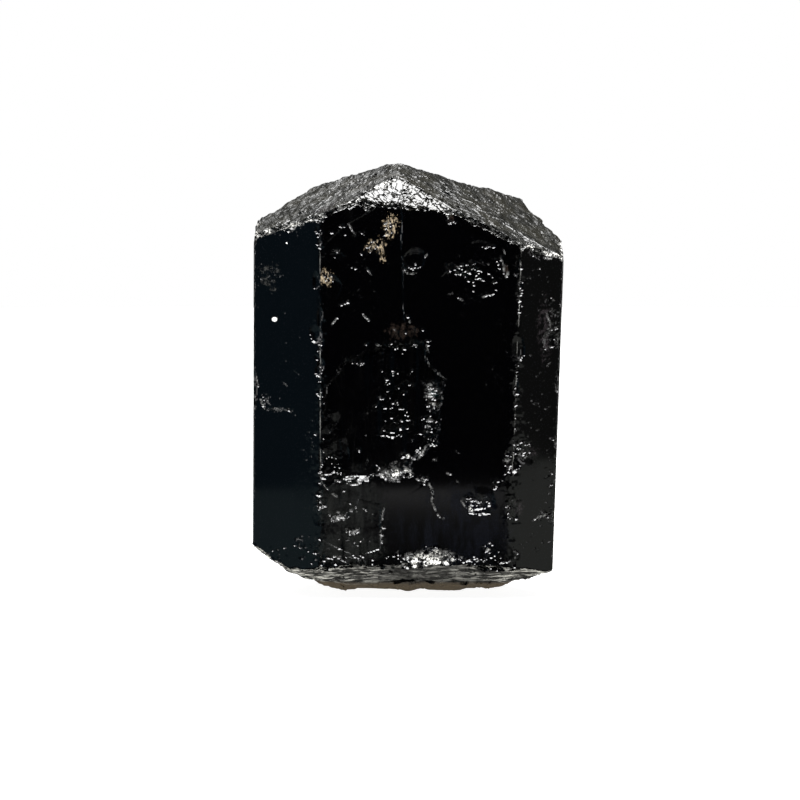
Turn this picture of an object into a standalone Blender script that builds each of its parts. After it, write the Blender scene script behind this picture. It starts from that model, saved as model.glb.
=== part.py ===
"""Black tourmaline (schorl) crystal: a stubby trigonal prism, one natural solid.

The broad front face, the eight other prism faces and the low three-sided
termination are flat crystal faces. The lower end is a broken surface that
stands on a flat patch. The front face is stepped and pitted, and its edges
are chipped. X is the width, -Y the front, +Z up along the crystal's axis.
The origin is the centre of the bounding box's underside.
"""
import math

import bmesh
import bpy
from mathutils import Matrix, Vector, noise

MM = 0.001

# ---- driving dimensions, in millimetres and degrees ----
HEIGHT = 42.7                              # standing patch to apex
BLOCK = 60.0                               # side of the block that the faces are cut from
FRONT_Y = -12.4                            # plane of the broad front face
BACK_Y = 12.4
APEX = Vector((-0.8, -5.2, HEIGHT))
MID_HEIGHT = 20.0                          # where the prism faces' distances are measured
RHOMB_SLOPE = 27.3                         # tourmaline's low rhombohedron, the main cap faces
STEEP_SLOPE = 46.0                         # its steep rhombohedron, one small facet
FRONT_FACET_SLOPE = 57.0                   # the front one is worn steeper
FRONT_FACET_FOOT = 38.6                    # where the front facet meets the front face

# prism faces: azimuth of the outward normal, distance from the Z axis at
# MID_HEIGHT, and lean: how much the crystal narrows towards its base
PRISM_FACES = {
    "front": (270.0, -FRONT_Y, 0.0),
    "front_right": (300.0, 16.0, 1.04),
    "right": (0.0, 14.78, 1.9),
    "back_right": (30.0, 10.8, 0.9),
    "back_right_wing": (60.0, 10.6, 0.4),
    "back_ridge": (90.0, BACK_Y, 0.0),
    "back_left_wing": (120.0, 11.4, 0.3),
    "back_left": (150.0, 12.0, 0.0),
    "left": (180.0, 15.23, -0.3),
    "front_left": (240.0, 15.04, 0.0),
}

# cap faces: azimuth and slope of the outward normal, and a point on the plane
CAP_FACES = {
    "left_rhomb": (206.6, 26.7, APEX + Vector((-0.4, 0.0, 0.0))),
    "right_rhomb": (333.3, 29.1, APEX),
    "back_rhomb": (90.0, RHOMB_SLOPE, APEX),
    "front_facet": (273.0, FRONT_FACET_SLOPE, Vector((APEX.x, FRONT_Y, FRONT_FACET_FOOT))),
    "back_left_facet": (150.0, STEEP_SLOPE, Vector((-9.0, 0.15, 40.1))),
}

# broken base: where the flat standing patch ends and how fast the break rises
PATCH_FRONT = -4.3
PATCH_BACK = 8.4
PATCH_LEFT = -5.0
PATCH_RIGHT = 6.4
FRONT_RISE = 0.43
SIDE_RISE = 0.36
BREAK_BLEND = 2.2                          # how sharply the rises meet, higher is sharper
BREAK_GRID = 1.05                          # spacing of the broken surface's facets
BREAK_ROUGHNESS = 0.5                      # height of its lumps
BREAK_WIDTH = 34.0                         # the cutter is a little larger than the crystal
BREAK_DEPTH = 28.0
BREAK_BOTTOM = -6.0
CORNER_CHIP = Vector((-15.3, -8.5, 5.3))   # top of the chip off the left side
CORNER_CHIP_FALL = Vector((0.76, 0.08))    # how fast it runs down to the right and the back

# steps broken into the front face: outline (x, z), then the depth at the
# outline's left and right ends
HOLLOW_SIDE_SLOPE = 0.8                    # side width for a depth of 1
CUTTER_PROUD = 0.5                         # how far a hollow's cutter stands out of the face
FRONT_HOLLOWS = {
    "upper": (
        ((-7.3, 29.3), (-6.3, 34.9), (-4.4, 36.2), (-3.1, 38.0), (-0.6, 38.2), (-0.5, 27.9),
         (-2.4, 28.6), (-4.9, 28.1)),
        0.12, 0.3,
    ),
    "middle": (
        ((-8.2, 12.0), (-8.1, 21.0), (-6.4, 25.6), (-3.4, 26.6), (-0.5, 27.4), (1.7, 24.7),
         (3.9, 21.8), (3.1, 20.2), (2.9, 15.7), (2.1, 15.1), (0.4, 13.6), (-0.4, 12.2),
         (-2.3, 12.1), (-2.7, 12.9), (-4.5, 12.0)),
        0.16, 0.6,
    ),
    "lower": (
        ((-7.9, 6.1), (-7.6, 9.3), (-5.2, 10.2), (-2.7, 9.6), (-2.7, 5.4), (-5.0, 5.0)),
        0.12, 0.22,
    ),
}

# shallow shell-shaped chips: face, place across and up it, half width, half
# height, depth, and turn of the chip in the face's plane
FACE_CHIPS = (
    ("front", 0.4, 34.4, 1.15, 1.25, 0.42, 20),
    ("front", 4.3, 32.3, 1.3, 0.7, 0.34, 25),
    ("front", 6.5, 32.9, 1.2, 0.6, 0.36, -20),
    ("front", 6.1, 30.9, 1.5, 0.5, 0.26, 35),
    ("front", 7.0, 34.8, 1.2, 0.35, 0.22, 8),
    ("front", 5.0, 29.7, 1.2, 0.35, 0.24, -12),
    ("front", 7.8, 29.9, 1.1, 0.4, 0.26, 18),
    ("front", -6.2, 36.2, 0.9, 0.6, 0.24, -30),
    ("front", -6.9, 33.2, 1.0, 0.35, 0.2, 0),
    ("front", -7.3, 30.6, 0.9, 1.3, 0.28, 12),
    ("front", -0.9, 25.6, 1.3, 1.1, 0.85, -25),
    ("front", 0.9, 22.9, 0.9, 1.5, 0.9, 28),
    ("front", 2.3, 20.9, 0.85, 1.3, 1.15, 5),
    ("front", 2.2, 17.6, 0.8, 1.5, 1.0, 0),
    ("front", -1.6, 20.6, 0.8, 0.6, 0.8, 15),
    ("front", -2.3, 18.4, 0.7, 0.6, 0.75, -15),
    ("front", -1.4, 16.7, 1.0, 0.7, 0.85, 10),
    ("front", 0.5, 18.6, 0.7, 1.0, 0.85, 5),
    ("front", -5.2, 23.4, 1.1, 0.5, 0.42, 28),
    ("front", -4.9, 17.4, 1.3, 0.8, 0.5, 0),
    ("front", -6.9, 14.5, 1.1, 1.2, 0.42, 0),
    ("front", -1.0, 13.4, 1.7, 0.95, 1.15, -4),
    ("front", -6.3, 12.6, 2.0, 0.7, 0.6, 4),
    ("front", 7.1, 23.7, 1.3, 1.0, 0.22, 40),
    ("front", 8.3, 21.2, 0.45, 1.2, 0.3, 30),
    ("front", 5.3, 15.4, 1.6, 0.4, 0.3, -25),
    ("front", 5.3, 13.3, 1.1, 0.4, 0.28, -30),
    ("front", 7.2, 10.3, 2.0, 1.25, 0.5, 8),
    ("front", 9.2, 13.3, 0.8, 1.6, 0.4, -20),
    ("front", 2.1, 11.2, 0.3, 1.7, 0.26, 28),
    ("front", 3.6, 8.3, 1.0, 0.35, 0.24, -50),
    ("front", -5.3, 8.4, 1.5, 0.5, 0.36, -5),
    ("front", -5.2, 6.5, 0.6, 1.0, 0.3, 10),
    ("front_left", -13.6, 31.3, 1.2, 1.3, 0.3, 10),
    ("front_left", -13.1, 27.4, 0.3, 0.3, 0.16, 0),
    ("front_left", -12.4, 18.6, 1.9, 0.35, 0.24, 14),
    ("front_left", -10.3, 15.4, 0.3, 1.2, 0.2, 8),
    ("front_left", -10.8, 22.2, 0.3, 0.8, 0.18, 30),
    ("front_right", 13.9, 25.6, 0.8, 1.1, 0.34, -20),
    ("front_right", 13.9, 22.9, 0.4, 0.9, 0.28, 25),
    ("front_right", 12.2, 15.0, 1.0, 1.3, 0.32, 15),
    ("front_right", 12.4, 34.0, 0.9, 0.5, 0.3, -25),
)

# chips that bite through an edge: point on the edge, outward direction, and
# half sizes across, along and into the crystal
EDGE_CHIPS = (
    ((-8.7, -12.3, 34.2), (-0.5, -1.0, 0.0), (0.5, 1.3, 0.3)),
    ((-8.7, -12.3, 30.0), (-0.5, -1.0, 0.0), (0.6, 1.6, 0.35)),
    ((-8.9, -12.2, 26.2), (-0.6, -1.0, 0.0), (1.0, 1.5, 0.5)),
    ((-8.7, -12.3, 23.2), (-0.5, -1.0, 0.0), (0.6, 1.1, 0.4)),
    ((-8.7, -12.3, 18.5), (-0.5, -1.0, 0.0), (0.4, 1.8, 0.26)),
    ((-8.7, -12.3, 14.2), (-0.5, -1.0, 0.0), (0.4, 1.4, 0.26)),
    ((10.9, -12.3, 32.6), (0.5, -1.0, 0.0), (0.5, 1.8, 0.32)),
    ((10.7, -12.3, 27.0), (0.5, -1.0, 0.0), (0.4, 1.7, 0.24)),
    ((10.6, -12.3, 21.6), (0.5, -1.0, 0.0), (0.7, 2.6, 0.38)),
    ((10.4, -12.3, 16.4), (0.5, -1.0, 0.0), (0.5, 1.4, 0.34)),
    ((10.2, -12.3, 12.6), (0.5, -1.0, 0.0), (0.8, 1.3, 0.42)),
    ((10.1, -12.3, 8.2), (0.5, -1.0, 0.0), (0.6, 1.2, 0.34)),
    ((-15.3, -8.6, 20.2), (-1.0, -0.4, 0.0), (1.3, 2.0, 0.34)),
    ((-15.3, -8.6, 28.4), (-1.0, -0.4, 0.0), (0.7, 1.0, 0.24)),
    ((15.0, -10.0, 25.4), (1.0, -0.6, 0.0), (0.9, 0.9, 0.4)),
    ((14.9, -9.9, 21.6), (1.0, -0.6, 0.0), (0.6, 1.3, 0.28)),
    ((14.4, -9.9, 8.0), (1.0, -0.6, 0.0), (1.2, 0.6, 0.42)),
    ((14.6, -9.9, 13.6), (1.0, -0.6, 0.0), (0.5, 2.2, 0.24)),
    ((-0.9, -12.3, 3.6), (0.0, -1.0, -0.7), (2.4, 0.8, 0.5)),
    ((3.9, -12.3, 3.8), (0.0, -1.0, -0.7), (2.3, 1.1, 0.6)),
    ((8.2, -12.3, 3.7), (0.0, -1.0, -0.7), (1.6, 0.8, 0.45)),
    ((-6.0, -12.3, 3.9), (0.0, -1.0, -0.7), (2.0, 0.8, 0.45)),
    ((-4.6, -12.3, 38.0), (0.0, -1.0, 0.8), (1.2, 0.5, 0.3)),
    ((4.4, -12.3, 37.6), (0.0, -1.0, 0.8), (1.3, 0.6, 0.32)),
    ((8.6, -12.3, 36.0), (0.0, -1.0, 0.8), (1.1, 0.5, 0.3)),
    ((-12.2, -10.4, 36.6), (-0.5, -0.9, 0.9), (1.4, 0.6, 0.32)),
    ((-8.3, -12.3, 37.7), (-0.2, -1.0, 0.8), (1.3, 0.9, 0.5)),
    ((10.9, -12.2, 35.1), (0.4, -1.0, 0.8), (0.9, 0.7, 0.34)),
    ((7.9, 0.0, 39.9), (0.5, -0.1, 1.0), (1.2, 0.8, 0.22)),
    ((13.6, -1.9, 36.3), (0.9, 0.4, 0.8), (1.3, 0.9, 0.26)),
    ((15.2, -6.0, 34.9), (1.0, 0.0, 0.8), (1.4, 0.6, 0.3)),
    ((-7.4, -1.0, 40.3), (-0.3, 0.2, 1.0), (1.2, 0.8, 0.2)),
    ((-15.3, -4.6, 36.3), (-1.0, 0.0, 0.8), (2.2, 0.8, 0.5)),
    ((-15.3, -8.4, 35.2), (-1.0, -0.5, 0.8), (0.9, 0.8, 0.34)),
    ((-0.9, -5.1, 42.9), (0.0, 0.2, 1.0), (0.9, 0.9, 0.22)),
    ((9.8, 6.0, 36.4), (0.8, 0.6, 0.6), (1.5, 1.0, 0.5)),
    ((-11.5, 5.4, 36.2), (-0.7, 0.7, 0.6), (1.6, 0.9, 0.45)),
    ((-0.6, 12.4, 33.5), (0.0, 1.0, 0.8), (1.2, 0.9, 0.45)),
)

CHIP_LIFT = 0.35                           # centre of a chip above the face, in chip depths
CHIP_UNEVENNESS = 0.3
CHIP_TILT = 16.0                           # a chip is steeper on its upper side
CHIP_SPREAD = 1.25                         # room a chip needs, in its own half sizes
FINE_CHIP_SIZE = 1.7                       # product of half sizes past which facets are finer

# grooves of the striated back and side faces: face, places across it, depths
GROOVE_HALF_WIDTH = 0.32
GROOVE_OUTSIDE = 0.12                      # how far a groove's cutter stands out of the face
GROOVES = {
    "right": ((-7.9, -5.6), (0.14, 0.2)),
    "back_right": ((-9.2, -6.4, -4.6, -1.9, 0.6), (0.16, 0.26, 0.18, 0.22, 0.15)),
    "back_right_wing": ((-1.6, 0.9, 3.6, 5.2), (0.18, 0.26, 0.16, 0.2)),
    "back_left_wing": ((-3.6, -1.1, 2.2), (0.18, 0.24, 0.2)),
    "back_left": ((-0.4, 2.3, 4.1, 7.8), (0.16, 0.25, 0.17, 0.2)),
    "left": ((3.9, 6.7), (0.15, 0.2)),
}


def clear_scene():
    """Remove every object, so that the file holds only the crystal."""
    for item in list(bpy.data.objects):
        bpy.data.objects.remove(item)


def direction(azimuth, elevation=0.0):
    """Unit vector at an azimuth from +X and an elevation above level."""
    level = math.cos(math.radians(elevation))
    return Vector((
        level * math.cos(math.radians(azimuth)),
        level * math.sin(math.radians(azimuth)),
        math.sin(math.radians(elevation)),
    ))


def prism_plane(name):
    """Point and outward normal of a prism face."""
    azimuth, distance, lean = PRISM_FACES[name]
    point = distance * direction(azimuth) + Vector((0.0, 0.0, MID_HEIGHT))
    return point, direction(azimuth, -lean)


def cap_plane(name):
    """Point and outward normal of a cap face."""
    azimuth, slope, point = CAP_FACES[name]
    return point, direction(azimuth, 90.0 - slope)


def face_point(name, across, height):
    """Point on a prism face, at a height and at an X across it."""
    point, normal = prism_plane(name)
    y = point.y - ((across - point.x) * normal.x + (height - point.z) * normal.z) / normal.y
    return Vector((across, y, height))


def crystal_blank():
    """The undamaged crystal: a block trimmed to one plane after another."""
    mesh = bmesh.new()
    bmesh.ops.create_cube(mesh, size=BLOCK)
    bmesh.ops.translate(mesh, verts=mesh.verts, vec=(0.0, 0.0, BLOCK / 2.0))
    planes = [prism_plane(name) for name in PRISM_FACES]
    planes += [cap_plane(name) for name in CAP_FACES]
    for point, normal in planes:
        parts = list(mesh.verts) + list(mesh.edges) + list(mesh.faces)
        cut = bmesh.ops.bisect_plane(
            mesh, geom=parts, plane_co=point, plane_no=normal, clear_outer=True)
        rim = [part for part in cut["geom_cut"] if isinstance(part, bmesh.types.BMEdge)]
        bmesh.ops.edgeloop_fill(mesh, edges=rim)
    return mesh


def break_height(x, y):
    """Height of the broken base above the standing plane; below 0 it is flat."""
    rises = (
        (PATCH_FRONT - y) * FRONT_RISE,
        (y - PATCH_BACK) * SIDE_RISE,
        (PATCH_LEFT - x) * SIDE_RISE,
        (x - PATCH_RIGHT) * SIDE_RISE,
    )
    slope = math.log(sum(math.exp(BREAK_BLEND * rise) for rise in rises)) / BREAK_BLEND
    lumps = noise.noise(Vector((0.33 * x, 0.42 * y, 1.7)))
    lumps += 0.45 * noise.noise(Vector((0.95 * x, 0.8 * y, 5.1)))
    height = slope + BREAK_ROUGHNESS * (lumps - 0.24)
    reach = Vector((x - CORNER_CHIP.x, y - CORNER_CHIP.y))
    return max(height, CORNER_CHIP.z - reach.dot(CORNER_CHIP_FALL))


def base_cutter():
    """Everything under the broken surface."""
    mesh = bmesh.new()
    bmesh.ops.create_grid(
        mesh, size=0.5, matrix=Matrix.Diagonal((BREAK_WIDTH, BREAK_DEPTH, 1.0, 1.0)),
        x_segments=round(BREAK_WIDTH / BREAK_GRID), y_segments=round(BREAK_DEPTH / BREAK_GRID))
    for vertex in mesh.verts:
        x, y, _ = vertex.co
        vertex.co.x += 0.5 * noise.noise(Vector((0.9 * x, 0.9 * y, 9.3)))
        vertex.co.y += 0.5 * noise.noise(Vector((0.9 * x, 0.9 * y, 4.6)))
        vertex.co.z = break_height(vertex.co.x, vertex.co.y)
    body = bmesh.ops.extrude_face_region(mesh, geom=list(mesh.faces))
    for part in body["geom"]:
        if isinstance(part, bmesh.types.BMVert):
            part.co.z = BREAK_BOTTOM
    bmesh.ops.triangulate(mesh, faces=mesh.faces)
    return mesh


def hollow_cutter(outline, left_depth, right_depth):
    """A step broken into the front face, with sloping sides and a tilted floor."""
    mesh = bmesh.new()
    left = min(x for x, _ in outline)
    right = max(x for x, _ in outline)
    middle = Vector((sum(x for x, _ in outline), sum(z for _, z in outline))) / len(outline)
    rims = []
    for is_floor in (False, True):
        rim = []
        for x, z in outline:
            depth = left_depth + (right_depth - left_depth) * (x - left) / (right - left)
            sink = depth if is_floor else -CUTTER_PROUD
            inwards = (middle - Vector((x, z))).normalized() * HOLLOW_SIDE_SLOPE * sink
            rim.append(mesh.verts.new((x + inwards.x, FRONT_Y + sink, z + inwards.y)))
        rims.append(rim)
    outer, inner = rims
    for one in range(len(outline)):
        two = (one + 1) % len(outline)
        mesh.faces.new((outer[one], outer[two], inner[two], inner[one]))
    mesh.faces.new(outer)
    mesh.faces.new(inner)
    bmesh.ops.triangulate(mesh, faces=mesh.faces)
    return mesh


def all_chips():
    """Every chip as a point, an outward direction, half sizes and a turn."""
    chips = []
    for name, across, height, half_width, half_height, depth, turn in FACE_CHIPS:
        half_sizes = (half_width, half_height, depth)
        chips.append((face_point(name, across, height), prism_plane(name)[1], half_sizes, turn))
    for point, normal, half_sizes in EDGE_CHIPS:
        chips.append((Vector(point), Vector(normal).normalized(), half_sizes, 0.0))
    return chips


def chip_layers():
    """Sort the chips into layers in which no two chips touch each other."""
    layers = []
    for chip in all_chips():
        for layer in layers:
            if all((chip[0] - other[0]).length > CHIP_SPREAD * (max(chip[2]) + max(other[2]))
                   for other in layer):
                layer.append(chip)
                break
        else:
            layers.append([chip])
    return layers


def add_chip(mesh, point, normal, half_sizes, turn):
    """Add an uneven shell-shaped cutter that sinks into a surface at a point."""
    across, along, depth = half_sizes
    turned = normal.to_track_quat("Z", "Y").to_matrix().to_4x4()
    place = Matrix.Translation(point + normal * CHIP_LIFT * depth) @ turned
    place @= Matrix.Rotation(math.radians(turn), 4, "Z")
    place @= Matrix.Rotation(math.radians(CHIP_TILT), 4, "X")
    fineness = 3 if across * along > FINE_CHIP_SIZE else 2
    made = bmesh.ops.create_icosphere(mesh, subdivisions=fineness, radius=1.0)
    for vertex in made["verts"]:
        swell = 1.0 + CHIP_UNEVENNESS * noise.noise(1.6 * vertex.co + point)
        spread = Vector((across, along, (1.0 + CHIP_LIFT) * depth))
        vertex.co = place @ (swell * vertex.co * spread)


def chip_cutter(layer):
    """The chips of one layer."""
    mesh = bmesh.new()
    for point, normal, half_sizes, turn in layer:
        add_chip(mesh, point, normal, half_sizes, turn)
    return mesh


def groove_cutter():
    """Narrow V grooves along the striated prism faces."""
    mesh = bmesh.new()
    for name, (places, depths) in GROOVES.items():
        point, normal = prism_plane(name)
        sideways = Vector((0.0, 0.0, 1.0)).cross(normal).normalized()
        upwards = normal.cross(sideways)
        foot = normal * GROOVE_OUTSIDE
        for place, depth in zip(places, depths):
            ends = []
            for reach in (-BLOCK / 2.0, BLOCK / 2.0):
                centre = point + sideways * place + upwards * reach
                widening = 1.0 + GROOVE_OUTSIDE / depth
                ends.append([mesh.verts.new(corner) for corner in (
                    centre - normal * depth,
                    centre + foot + sideways * GROOVE_HALF_WIDTH * widening,
                    centre + foot - sideways * GROOVE_HALF_WIDTH * widening,
                )])
            low, high = ends
            for one, two in ((0, 1), (1, 2), (2, 0)):
                mesh.faces.new((low[one], low[two], high[two], high[one]))
            mesh.faces.new(low)
            mesh.faces.new(high)
    return mesh


def solid_object(name, mesh):
    """Turn a shape in millimetres into a named object in metres, faces outwards."""
    bmesh.ops.recalc_face_normals(mesh, faces=mesh.faces)
    bmesh.ops.scale(mesh, verts=mesh.verts, vec=(MM, MM, MM))
    data = bpy.data.meshes.new(name)
    mesh.to_mesh(data)
    mesh.free()
    item = bpy.data.objects.new(name, data)
    bpy.context.scene.collection.objects.link(item)
    return item


def cut_away(body, name, mesh):
    """Take a cutter's shape out of the crystal."""
    cutter = solid_object(name, mesh)
    cutter.hide_render = True
    cutter.display_type = "WIRE"
    cut = body.modifiers.new(name, "BOOLEAN")
    cut.operation = "DIFFERENCE"
    cut.solver = "EXACT"
    cut.object = cutter


def schorl():
    """Black, glassy tourmaline."""
    material = bpy.data.materials.new("black_tourmaline")
    material.use_nodes = True
    surface = material.node_tree.nodes["Principled BSDF"]
    surface.inputs["Base Color"].default_value = (0.012, 0.012, 0.014, 1.0)
    surface.inputs["Roughness"].default_value = 0.18
    surface.inputs["Metallic"].default_value = 0.0
    surface.inputs["IOR"].default_value = 1.64
    return material


def build_crystal():
    """The crystal: its faces, its broken base, and its steps, chips and grooves."""
    crystal = solid_object("tourmaline_crystal", crystal_blank())
    crystal.data.materials.append(schorl())
    cut_away(crystal, "striation_cutter", groove_cutter())
    cut_away(crystal, "broken_base_cutter", base_cutter())
    for name, (outline, left_depth, right_depth) in FRONT_HOLLOWS.items():
        cut_away(crystal, name + "_hollow_cutter", hollow_cutter(outline, left_depth, right_depth))
    for number, layer in enumerate(chip_layers(), start=1):
        cut_away(crystal, f"chip_cutter_{number}", chip_cutter(layer))


clear_scene()
build_crystal()
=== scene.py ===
"""Looks of a black tourmaline crystal: stage, light, camera and the crystal's finished surface."""
import math

import bpy
import numpy as np
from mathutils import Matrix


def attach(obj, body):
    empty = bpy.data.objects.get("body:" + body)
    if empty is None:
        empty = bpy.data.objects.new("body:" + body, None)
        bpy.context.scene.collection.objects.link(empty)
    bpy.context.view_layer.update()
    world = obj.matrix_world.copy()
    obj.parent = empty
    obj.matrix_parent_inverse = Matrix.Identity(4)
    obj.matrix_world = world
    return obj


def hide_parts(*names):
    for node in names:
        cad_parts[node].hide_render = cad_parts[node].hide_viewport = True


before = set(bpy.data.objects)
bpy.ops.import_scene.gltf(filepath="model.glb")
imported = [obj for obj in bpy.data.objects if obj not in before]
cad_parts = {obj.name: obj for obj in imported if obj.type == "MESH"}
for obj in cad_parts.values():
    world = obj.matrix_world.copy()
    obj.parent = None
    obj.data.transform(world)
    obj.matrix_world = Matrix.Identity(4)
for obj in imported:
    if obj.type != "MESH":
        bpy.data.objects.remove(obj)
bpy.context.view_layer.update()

# ---------------------------------------------------------------------------
# Camera: a long lens half a metre in front of the crystal and a little above
# it, level with the middle of the broad front face.
# ---------------------------------------------------------------------------
MM = 0.001
AIM = np.array([-0.8, 0.0, 18.9])          # millimetres, as all lengths below
CAMERA_DISTANCE = 500.0
CAMERA_TILT = math.radians(4.0)
LENS = 225.0
SENSOR = 36.0
NEAREST_SEEN = 0.01                        # metres
FARTHEST_SEEN = 50.0

camera_data = bpy.data.cameras.new("camera")
camera_data.lens = LENS
camera_data.sensor_width = SENSOR
camera_data.clip_start = NEAREST_SEEN
camera_data.clip_end = FARTHEST_SEEN
camera = bpy.data.objects.new("camera", camera_data)
back_off = np.array([0.0, -math.cos(CAMERA_TILT), math.sin(CAMERA_TILT)])
camera.location = (AIM + CAMERA_DISTANCE * back_off) * MM
camera.rotation_euler = (math.radians(90.0) - CAMERA_TILT, 0.0, 0.0)
bpy.context.scene.collection.objects.link(camera)
bpy.context.scene.camera = camera
bpy.context.scene.view_settings.view_transform = "Standard"

# ---------------------------------------------------------------------------
# Stage: a plain pale light table, and glowing discs that paint the reflection of
# grey mats on the bench in front of it; only the crystal's polished faces see them.
# ---------------------------------------------------------------------------
FLOOR_RADIUS = 0.55                        # metres, as the stage's and lights' lengths
FLOOR_COLOUR = (0.35, 0.35, 0.35, 1.0)
FLOOR_GLOW = 0.93
FLOOR_ROUGHNESS = 0.9
FLOOR_LEVEL = -0.00002
MAT_LEVEL = -0.00001
MAT_RADIUS = 0.139
FRONT_MAT_HALF_WIDTH = 24.0                # millimetres
WHITE = (1.0, 1.0, 1.0, 1.0)
# glow of the mats, by the share of the radius in front and by the share of the width at the sides
FRONT_GLOWS = ((0.0, 0.02), (0.4, 0.03), (0.66, 0.06), (0.8, 0.13), (0.9, 0.26), (0.985, 0.34), (1.0, 0.2))
SIDE_GLOWS = ((0.0, (0.10, 0.15, 0.17)), (0.3, 0.0), (0.7, 0.0), (1.0, (0.27, 0.28, 0.26)))
SIDE_SHARES = ((0.0, 1.0), (0.3, 0.0), (0.7, 0.0), (1.0, 1.0))


def stage_disc(name, radius, height, sides=96):
    """Flat disc: one ring of points at equal angles, closed by a single face."""
    angle = np.linspace(0.0, 2.0 * math.pi, sides, endpoint=False)
    ring = np.stack([radius * np.cos(angle), radius * np.sin(angle), np.full(sides, height)], axis=1)
    data = bpy.data.meshes.new(name)
    data.from_pydata(ring.tolist(), [], [list(range(sides))])
    disc = bpy.data.objects.new(name, data)
    bpy.context.scene.collection.objects.link(disc)
    return disc


def add_node(tree, kind, values=None, **settings):
    """New node of a kind, with its settings and its sockets' own values."""
    node = tree.nodes.new(kind)
    for setting, value in settings.items():
        setattr(node, setting, value)
    for socket, value in (values or {}).items():
        node.inputs[socket].default_value = value
    return node


def ramp(tree, source, stops):
    """Colour ramp along a value: stops are a place from 0 to 1 and a colour or a grey."""
    node = add_node(tree, "ShaderNodeValToRGB")
    elements = node.color_ramp.elements
    while len(elements) < len(stops):
        elements.new(0.5)
    for element, (place, colour) in zip(elements, stops):
        element.position = place
        grey = (colour, colour, colour) if isinstance(colour, float) else colour
        element.color = (*grey, 1.0)
    tree.links.new(source, node.inputs["Fac"])
    return node.outputs["Color"]


def mix(tree, share, one, two):
    """Colour or value part of the way from one to two, each a socket or a constant: a plain number as the
    second makes it a value."""
    is_value = isinstance(two, float)
    node = add_node(tree, "ShaderNodeMix", data_type="FLOAT" if is_value else "RGBA")
    tree.links.new(share, node.inputs[0])
    for socket, end in zip((2, 3) if is_value else (6, 7), (one, two)):
        if isinstance(end, (tuple, float)):
            node.inputs[socket].default_value = end
        else:
            tree.links.new(end, node.inputs[socket])
    return node.outputs[0 if is_value else 2]


floor = stage_disc("floor", FLOOR_RADIUS, FLOOR_LEVEL)
floor_material = bpy.data.materials.new("pale_table")
floor_material.use_nodes = True
floor_shader = floor_material.node_tree.nodes["Principled BSDF"]
floor_shader.inputs["Base Color"].default_value = FLOOR_COLOUR
floor_shader.inputs["Roughness"].default_value = FLOOR_ROUGHNESS
floor_shader.inputs["Emission Color"].default_value = WHITE
floor_shader.inputs["Emission Strength"].default_value = FLOOR_GLOW
floor.data.materials.append(floor_material)
floor.visible_glossy = False

mat = stage_disc("bench_mat", MAT_RADIUS, MAT_LEVEL)
mat_material = bpy.data.materials.new("glowing_mat")
mat_material.use_nodes = True
tree = mat_material.node_tree
tree.nodes.remove(tree.nodes["Principled BSDF"])
spot = add_node(tree, "ShaderNodeTexCoord")
spot_parts = add_node(tree, "ShaderNodeSeparateXYZ")
from_middle = add_node(tree, "ShaderNodeVectorMath", operation="LENGTH")
reach = add_node(tree, "ShaderNodeMath", {1: 1.0 / MAT_RADIUS}, operation="MULTIPLY")
sideways = add_node(tree, "ShaderNodeMapRange", {
    "From Min": -FRONT_MAT_HALF_WIDTH * MM, "From Max": FRONT_MAT_HALF_WIDTH * MM})
tree.links.new(spot.outputs["Object"], spot_parts.inputs[0])
tree.links.new(spot.outputs["Object"], from_middle.inputs[0])
tree.links.new(from_middle.outputs["Value"], reach.inputs[0])
tree.links.new(spot_parts.outputs["X"], sideways.inputs["Value"])
front_glow = ramp(tree, reach.outputs[0], FRONT_GLOWS)
side_glow = ramp(tree, sideways.outputs["Result"], SIDE_GLOWS)
side_share = ramp(tree, sideways.outputs["Result"], SIDE_SHARES)
glow = add_node(tree, "ShaderNodeEmission")
tree.links.new(mix(tree, side_share, front_glow, side_glow), glow.inputs["Color"])
tree.links.new(glow.outputs[0], tree.nodes["Material Output"].inputs["Surface"])
mat.data.materials.append(mat_material)
mat.visible_camera = False
mat.visible_diffuse = False
mat.visible_shadow = False

# ---------------------------------------------------------------------------
# Light: one bright soft box overhead and towards the front, a wide dim one
# above, and two dim side boxes, in a dark room with a pale backdrop.
# ---------------------------------------------------------------------------
LIT_HEIGHT = 0.02                          # height that the boxes face
# azimuth, elevation, distance, width, height, radiance
SOFT_BOXES = {
    "key_box": (270.0, 64.0, 0.9, 0.86, 0.7, 17.0),
    "wide_box": (135.0, 72.0, 1.1, 1.2, 0.9, 2.4),
    "left_box": (180.0, 12.0, 1.0, 0.5, 0.9, 1.4),
    "right_box": (0.0, 12.0, 1.0, 0.5, 0.9, 1.2),
}
# the room's tones: from left to right, and from the floor to the zenith behind the crystal
SIDE_SHADES = (
    (0.0, (0.03, 0.06, 0.085)), (0.12, (0.025, 0.05, 0.07)), (0.38, 0.0), (0.62, 0.0),
    (0.88, (0.048, 0.05, 0.046)), (1.0, (0.05, 0.05, 0.046)))
BACK_SHADES = ((0.0, 0.02), (0.2, 0.03), (0.42, 0.07), (0.6, 0.3), (0.8, 1.2), (1.0, 1.6))
BEHIND = {"From Min": -0.35, "From Max": 0.4}
SIDE_TO_SIDE = {"From Min": -1.0, "From Max": 1.0}
DIM_ON_RIGHT = {"From Min": -0.05, "From Max": 0.28, "To Min": 1.0, "To Max": 0.5}


def soft_box(name, azimuth, elevation, distance, width, height, radiance):
    """Rectangular light that faces the crystal; power = radiance x area x pi."""
    data = bpy.data.lights.new(name, "AREA")
    data.shape = "RECTANGLE"
    data.size = width
    data.size_y = height
    data.energy = radiance * width * height * math.pi
    box = bpy.data.objects.new(name, data)
    level = distance * math.cos(math.radians(elevation))
    box.location = (
        level * math.cos(math.radians(azimuth)),
        level * math.sin(math.radians(azimuth)),
        distance * math.sin(math.radians(elevation)) + LIT_HEIGHT,
    )
    box.rotation_euler = (math.radians(90.0 - elevation), 0.0, math.radians(azimuth + 90.0))
    box.visible_camera = False
    bpy.context.scene.collection.objects.link(box)


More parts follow.
